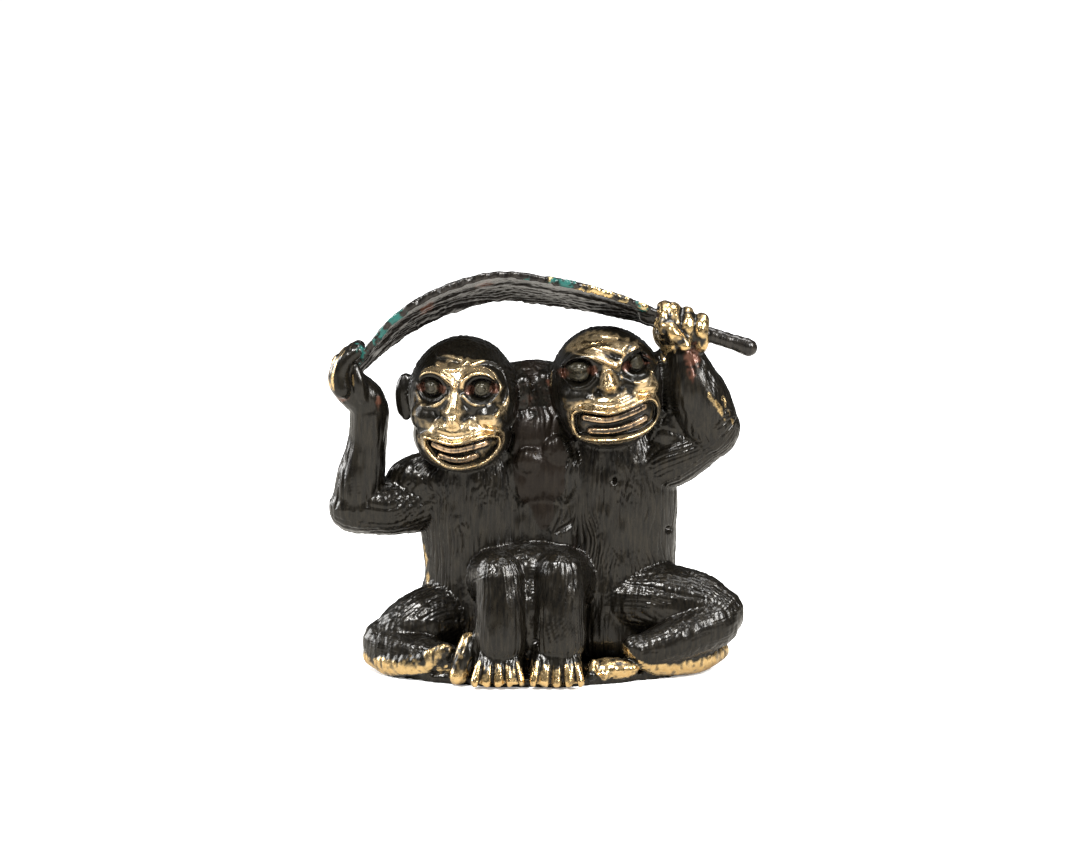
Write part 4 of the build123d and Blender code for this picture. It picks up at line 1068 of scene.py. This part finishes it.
def finish_of(skin, points, normals, labels):
    """Rubbed gold, copper, verdigris and brown dust for each point, from 0 to 1; on the inner arm between the
    heads the brown is also painted shade.
    """
    near = ((points - worn_down(skin, NEAR_STEPS)) * normals).sum(axis=1)
    wide = ((points - worn_down(skin, WIDE_STEPS)) * normals).sum(axis=1)
    ready = np.full(len(points), READY_ELSEWHERE)
    for name, value in READY.items():
        ready[labels == NODES.index(name)] = value
    ready_faces(points, labels, ready)
    ready_limbs(points, normals, labels, ready)
    patch = noise(points / 1.5, 91) - 0.5
    grain = noise(points / 0.42, 92) - 0.5
    faces = np.isin(labels, face_numbers("left") + face_numbers("right"))
    breakup = np.where(faces, 0.5, 1.0)
    high = wide + 0.8 * near + ready + breakup * (PATCHES * patch + GRAINS * grain)
    soft = np.where(faces, 0.05, 0.0)
    gold = ease(0.0, 1.0, (high + soft) / (0.16 + 1.6 * soft))
    gold *= 1 - 0.75 * ease(0.60, 0.80, noise(points / 0.62, 93))
    copper = np.zeros(len(points))
    green = np.zeros(len(points))
    spot_tints(points, patch, grain, gold, copper, green)
    dust_and_shade = ease(-0.08, -0.40, wide + 0.04 * patch)
    # The inner arm between the heads is made darker brown and matte: dust, and painted shade that falls
    # between the heads
    dust_and_shade[labels == NODES.index("right_inner_arm")] += ARM_DUST_AND_SHADE
    return np.column_stack((gold, copper, green, np.clip(dust_and_shade, 0.0, 1.0)))


def settle(labels, edges, steps):
    """Labels where each point takes the label that most of its neighbours have, so seams run evenly."""
    count = len(labels)
    kinds = len(NODES)
    for _ in range(steps):
        votes = np.bincount(edges[:, 0] * kinds + labels[edges[:, 1]], minlength=count * kinds)
        votes += np.bincount(edges[:, 1] * kinds + labels[edges[:, 0]], minlength=count * kinds)
        votes = votes.reshape(count, kinds).astype(float)
        votes[np.arange(count), labels] += 1.5
        labels = votes.argmax(axis=1)
    return labels


def rim_edges(polygons, owners, count):
    """The edges where pieces of the skin meet, as pairs of points in the order of each piece's faces."""
    sizes = np.array([len(polygon) for polygon in polygons])
    ends = np.cumsum(sizes)
    starts = np.concatenate(polygons).astype(np.int64)
    nexts = np.roll(starts, -1)
    nexts[ends - 1] = starts[ends - sizes]
    owner = np.repeat(owners, sizes)
    keys = starts * count + nexts
    order = np.argsort(keys)
    found = np.searchsorted(keys[order], nexts * count + starts)
    apart = owner[order[np.minimum(found, len(keys) - 1)]] != owner
    rims = {}
    for number in range(len(NODES)):
        own = apart & (owner == number)
        rims[number] = list(zip(starts[own].tolist(), nexts[own].tolist()))
    return rims


def rim_loops(rims):
    """Rim edges joined to closed runs of points."""
    following = {}
    for start, end in rims:
        following.setdefault(start, []).append(end)
    loops = []
    while following:
        path = [next(iter(following))]
        while path[-1] in following:
            exits = following[path[-1]]
            ahead = exits.pop()
            if not exits:
                del following[path[-1]]
            if ahead in path:
                cut = path.index(ahead)
                loops.append(path[cut:])
                del path[cut + 1:]
            else:
                path.append(ahead)
    return loops


def ring_inside(loop, points, normals, tree):
    """A rim's points moved straight in, to less than half of the bronze that lies under each of them."""
    ring = []
    for number in loop:
        inward = Vector(-normals[number])
        start = Vector((points[number] + HOME) * MM) + inward * RIM_SKIN * MM
        hit = tree.ray_cast(start, inward, 4 * RIM_DEPTH * MM)
        room = 4 * RIM_DEPTH if hit[0] is None else hit[3] / MM
        ring.append(points[number] - normals[number] * min(RIM_DEPTH, RIM_SHARE * room))
    ring = np.array(ring)
    for _ in range(RIM_SMOOTH):
        ring = (np.roll(ring, 1, axis=0) + 2 * ring + np.roll(ring, -1, axis=0)) / 4
    return ring


def cap_tip(ring, inward, heart, tree):
    """The place inside the skin that most points of a ring see straight, to keep the cap inside."""
    middle = ring.mean(axis=0)
    deep = inward * np.linalg.norm(ring - middle, axis=1).mean()
    ways = [share * (heart - middle) for share in (0.0, 0.25, 0.5, 0.75, 1.0)]
    ways += [share * deep for share in (0.3, 0.6, 1.0, 1.5)]
    ways += [0.5 * (heart - middle) + share * deep for share in (0.4, 0.8)]
    starts = ring[::max(1, len(ring) // TIP_VIEWS)]
    best = (-1, middle)
    for way in ways:
        tip = middle + way
        seen = 0
        for start in starts:
            run = tip - start
            length = np.linalg.norm(run)
            if length > 1e-6:
                seen += tree.ray_cast(Vector((start + HOME) * MM), Vector(run), length * MM)[0] is None
        if seen > best[0]:
            best = (seen, tip)
    return best[1]


def cut_piece(name, polygons, rims, points, normals, finish, tree):
    """One piece of the skin, with the skin's shading and finish, and each rim closed by a ring and a tip that
    are painted the full dark brown of the hollows as crevice shade.
    """
    used = sorted({corner for polygon in polygons for corner in polygon})
    order = {old: new for new, old in enumerate(used)}
    faces = [[order[corner] for corner in polygon] for polygon in polygons]
    places = points[used].tolist()
    shading = normals[used].tolist()
    coats = finish[used].tolist()
    heart = points[used].mean(axis=0)
    for loop in rim_loops(rims):
        ring = ring_inside(loop, points, normals, tree)
        place = cap_tip(ring, -normals[loop].mean(axis=0), heart, tree)
        first = len(places)
        tip = first + len(ring)
        places += ring.tolist() + [place.tolist()]
        shading += [(0.0, 0.0, 0.0)] * (len(ring) + 1)
        # Ring and tip get the full dark brown of the hollows: painted shade, so a cap that shows at a seam
        # reads as a shaded crevice
        coats += [(0.0, 0.0, 0.0, 1.0)] * (len(ring) + 1)
        for at, (start, end) in enumerate(zip(loop, loop[1:] + loop[:1])):
            inner, after = first + at, first + (at + 1) % len(loop)
            faces.append([order[end], order[start], inner, after])
            faces.append([after, inner, tip])
    mesh = bpy.data.meshes.new("bronze_" + name)
    mesh.from_pydata((np.array(places) + HOME) * MM, [], faces)
    mesh.update()
    mesh.shade_smooth()
    mesh.normals_split_custom_set_from_vertices(shading)
    coat = mesh.attributes.new("finish", "FLOAT_COLOR", "POINT")
    coat.data.foreach_set("color", np.array(coats, np.float32).ravel())
    piece = bpy.data.objects.new("bronze_" + name, mesh)
    bpy.context.scene.collection.objects.link(piece)
    return piece


def face_labels(points, labels):
    """Eyes and teeth get their own labels, by their places on the carved faces."""
    for side, face in FACES.items():
        head, eyes, teeth = face_numbers(side)
        labels[np.isin(labels, (eyes, teeth))] = head
        local = to_head(points, side)
        front = np.flatnonzero((labels == head) & (local[:, 1] < -3.0))
        spots = local[front][:, [0, 2]]
        for x, z, radius in face["eyes"]:
            labels[front[eye_distance(spots, x, z) < radius + 0.05]] = eyes
        inside = mouth_distance(spots, face) < -0.05
        for row in face["teeth"]:
            distance, _ = nearest_on(spots, flow(row, LINE_STEPS))
            labels[front[inside & (distance < TOOTH_HALF)]] = teeth
    return labels


# Materials


def linear(code):
    """A screen colour as the light it gives."""
    parts = [int(code[at:at + 2], 16) / 255 for at in (1, 3, 5)]
    return [p / 12.92 if p <= 0.04045 else ((p + 0.055) / 1.055) ** 2.4 for p in parts] + [1.0]


def add(tree, kind, **values):
    """A node with its settings and its sockets' values; a socket given as a value is linked."""
    node = tree.nodes.new(kind)
    for name, value in values.items():
        if hasattr(node, name):
            setattr(node, name, value)
            continue
        numbered = name[0] == "i" and name[1:].isdigit()
        socket = node.inputs[int(name[1:]) if numbered else name.replace("_", " ")]
        if isinstance(value, bpy.types.NodeSocket):
            tree.links.new(value, socket)
        else:
            socket.default_value = value
    return node


def blend(tree, factor, low, high):
    """A colour between two colours."""
    node = add(tree, "ShaderNodeMix", data_type="RGBA", i0=factor, i6=low, i7=high)
    return node.outputs[2]


def between(tree, factor, low, high):
    """A number between two numbers."""
    node = add(tree, "ShaderNodeMix", data_type="FLOAT", i0=factor, i2=low, i3=high)
    return node.outputs[0]


# Bronze: colours of the spots, then how much metal, roughness and wax each finish has
COPPER = "#6E4737"
VERDIGRIS = "#124A43"
PATINA_METAL = 0.55
PATINA_ROUGH = (0.20, 0.42)
DUST_ROUGH = 0.55
RUBBED_ROUGH = 0.20
VERDIGRIS_ROUGH = 0.75
PATINA_IOR = 1.30
WAX = 0.42
WAX_ROUGH = 0.20
DUST_WAX = 0.1
FUR_SCALE = (2400.0, 2400.0, 260.0)


def cast_noise(tree, place, scale, detail):
    """How uneven the cast metal is at each place."""
    node = add(tree, "ShaderNodeTexNoise", Vector=place, Scale=scale, Detail=detail, Roughness=0.6)
    return node.outputs["Fac"]


def bronze(name, dark, sheen, dust_and_shade, gold, pale):
    """Cast bronze under a dark patina and wax.

    Brown dust lies in the hollows, and the same brown is painted shade on the seams' caps and the arm between
    the heads; gold shows where hands rub it, and copper and verdigris show in spots.
    """
    material = bpy.data.materials.new(name)
    material.use_nodes = True
    tree = material.node_tree
    shader = tree.nodes["Principled BSDF"]
    coat = add(tree, "ShaderNodeAttribute", attribute_name="finish")
    tints = add(tree, "ShaderNodeSeparateColor", Color=coat.outputs["Color"])
    rubbed, copper, green = tints.outputs
    place = add(tree, "ShaderNodeTexCoord").outputs["Object"]
    cloud = cast_noise(tree, place, 420.0, 4.0)
    grain = cast_noise(tree, place, 2600.0, 3.0)
    stretch = add(tree, "ShaderNodeMapping", Vector=place, Scale=FUR_SCALE).outputs[0]
    hair = cast_noise(tree, stretch, 1.0, 3.0)
    streak = add(tree, "ShaderNodeMapRange", Value=hair, From_Min=0.36, From_Max=0.64).outputs[0]
    patina = blend(tree, cloud, linear(dark), linear(sheen))
    patina = blend(tree, streak, linear(dark), patina)
    patina = blend(tree, coat.outputs["Alpha"], patina, linear(dust_and_shade))
    metal = blend(tree, grain, linear(gold), linear(pale))
    colour = blend(tree, copper, patina, linear(COPPER))
    colour = blend(tree, rubbed, colour, metal)
    colour = blend(tree, green, colour, linear(VERDIGRIS))
    bare = between(tree, rubbed, PATINA_METAL, 1.0)
    bare = between(tree, green, bare, 0.0)
    rough = between(tree, grain, *PATINA_ROUGH)
    rough = between(tree, coat.outputs["Alpha"], rough, DUST_ROUGH)
    rough = between(tree, rubbed, rough, RUBBED_ROUGH)
    rough = between(tree, green, rough, VERDIGRIS_ROUGH)
    shader.inputs["IOR"].default_value = PATINA_IOR
    shader.inputs["Coat Roughness"].default_value = WAX_ROUGH
    wax = between(tree, rubbed, WAX, 0.0)
    wax = between(tree, coat.outputs["Alpha"], wax, DUST_WAX)
    fur = between(tree, rubbed, hair, grain)
    pits = add(tree, "ShaderNodeBump", Strength=0.55, Distance=0.00010, Height=fur)
    looks = {"Base Color": colour, "Metallic": bare, "Roughness": rough, "Coat Weight": wax}
    looks |= {"Normal": pits.outputs[0], "Coat Normal": pits.outputs[0]}
    for socket, value in looks.items():
        tree.links.new(value, shader.inputs[socket])
    return material


# Paper: its white, how it shows in the bronze, and its glow from near the group to far off, in metres
PAPER = "#FBFBFB"
PAPER_IN_BRONZE = "#B8B4AC"
GLOW = {"From_Min": 0.05, "From_Max": 0.40, "To_Min": 0.25, "To_Max": 1.0}


def floor_paper():
    """Matt white paper that catches the soft shadow and runs out to plain white.

    It glows to the camera alone and shows greyer in the bronze, so dark bronze stays dark on white.
    """
    material = bpy.data.materials.new("white_paper")
    material.use_nodes = True
    tree = material.node_tree
    shader = tree.nodes["Principled BSDF"]
    shader.inputs["Roughness"].default_value = 0.9
    shader.inputs["Specular IOR Level"].default_value = 0.1
    shader.inputs["Emission Color"].default_value = (1.0, 1.0, 1.0, 1.0)
    place = add(tree, "ShaderNodeTexCoord").outputs["Object"]
    away = add(tree, "ShaderNodeVectorMath", operation="LENGTH", i0=place).outputs["Value"]
    glow = add(tree, "ShaderNodeMapRange", Value=away, **GLOW)
    rays = add(tree, "ShaderNodeLightPath")
    seen = rays.outputs["Is Camera Ray"]
    shown = add(tree, "ShaderNodeMath", operation="MULTIPLY", i0=glow.outputs[0], i1=seen)
    tree.links.new(shown.outputs[0], shader.inputs["Emission Strength"])
    paper = blend(tree, rays.outputs["Is Glossy Ray"], linear(PAPER), linear(PAPER_IN_BRONZE))
    tree.links.new(paper, shader.inputs["Base Color"])
    return material


# Making the group
skin = model_skin()
refine_faces(skin)
points, labels = carve(skin)
edges = np.empty(len(skin.data.edges) * 2, np.int32)
skin.data.edges.foreach_get("vertices", edges)
edges = edges.reshape(-1, 2).astype(np.int64)
normals = read(skin.data.vertices, "normal", 3)
labels = face_labels(points, settle(labels, edges, SEAM_STEPS))
finish = finish_of(skin, points, normals, labels)
polygons = [list(polygon.vertices) for polygon in skin.data.polygons]
owners = labels[[polygon[0] for polygon in polygons]]
rims = rim_edges(polygons, owners, len(points))
parts = {number: [] for number in range(len(NODES))}
for polygon, owner in zip(polygons, owners.tolist()):
    parts[owner].append(polygon)
tree = BVHTree.FromObject(skin, bpy.context.evaluated_depsgraph_get())
bpy.data.objects.remove(skin)

# Finishes: the patina's dark and light, the dust in hollows, which is also painted shade on the seams' caps
# and the arm between the heads, and the gold with its pale glint
TINTS = {
    # Nearly black brown with a dull shine: bodies, arms, legs and plate read as old dark bronze
    "patinated_bronze": ("#0B0906", "#2B261D", "#170E07", "#A07A38", "#E7CFA0"),
    # Dark in the lines and pale gold on the ridges, so that the features read from a step away
    "face_bronze": ("#0F0D09", "#231F17", "#100A06", "#A47F40", "#F6E0B8"),
    # Worn bright by touch: hands and feet shine out of the dark
    "rubbed_bronze": ("#0F0D09", "#231F17", "#100A05", "#AE8748", "#F2D6A2"),
    # Grey and hardly rubbed: the eyeballs stay dark in their rings
    "eye_bronze": ("#1E1C15", "#504A3A", "#100E0A", "#7E7350", "#B5A67A"),
    # Redder gold: the teeth stand off the lips
    "tooth_bronze": ("#1A1510", "#352C22", "#120C08", "#B98E62", "#F2D8B6"),
    # Greyer patina with brown in the veins: the leaf is lighter than the bodies
    "leaf_bronze": ("#141210", "#36312B", "#342017", "#B08C46", "#EBD6A6"),
}
MATERIALS = {name: bronze(name, *tints) for name, tints in TINTS.items()}
for number, name in enumerate(NODES):
    piece = cut_piece(name, parts[number], rims[number], points, normals, finish, tree)
    piece.data.materials.append(MATERIALS[SLOTS[name]])
    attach(piece, "root")
    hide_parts(name)

# Studio: white paper, four soft lights round and over the group, white air, and the photo's camera
deselect()
bpy.ops.mesh.primitive_plane_add(size=24.0, location=(0.0, 0.0, 0.0))
floor = in_hand()
floor.name = "studio_floor"
floor.data.materials.append(floor_paper())


# Lights: x, y, z of the place, the side of the square and its watts, all aimed at one place
LIGHTS = {
    "left_soft_light": ((-0.36, 0.10, 0.16), 0.22, 2.4),
    "right_soft_light": ((0.30, -0.24, 0.26), 0.16, 3.2),
    "key_soft_light": ((-0.15, -0.28, 0.38), 0.09, 3.3),
    "top_soft_light": ((0.10, 0.06, 0.48), 0.24, 2.4),
}
LIGHTS_AIM = Vector((0.0, 0.0, 0.03))
for name, (place, size, watts) in LIGHTS.items():
    lamp = bpy.data.lights.new(name, "AREA")
    lamp.shape = "SQUARE"
    lamp.size = size
    lamp.energy = watts
    light = bpy.data.objects.new(name, lamp)
    light.location = place
    light.rotation_euler = (LIGHTS_AIM - Vector(place)).to_track_quat("-Z", "Y").to_euler()
    bpy.context.scene.collection.objects.link(light)

# Air: white to the camera, and faint where it lights the bronze
AIR_LIGHT = 0.08
world = bpy.data.worlds.new("studio_air")
world.use_nodes = True
world.node_tree.nodes["Background"].inputs["Color"].default_value = (1.0, 1.0, 1.0, 1.0)
seen = add(world.node_tree, "ShaderNodeLightPath").outputs["Is Camera Ray"]
air = between(world.node_tree, seen, AIR_LIGHT, 1.0)
world.node_tree.links.new(air, world.node_tree.nodes["Background"].inputs["Strength"])
bpy.context.scene.world = world
bpy.context.scene.view_settings.view_transform = "Standard"

# Camera: the place it looks at, how far off it is, and how high it looks down from
LOOK = np.array((-0.08, 0.0, 36.4)) + HOME
DISTANCE = 500.0
RISE = radians(9.0)
lens = bpy.data.cameras.new("photo_camera")
lens.lens = 111.0
lens.sensor_width = 36.0
lens.clip_start = 0.01
camera = bpy.data.objects.new("photo_camera", lens)
camera.location = (LOOK + DISTANCE * np.array((0.0, -cos(RISE), sin(RISE)))) * MM
camera.rotation_euler = (pi / 2 - RISE, 0.0, 0.0)
bpy.context.scene.collection.objects.link(camera)
bpy.context.scene.camera = camera
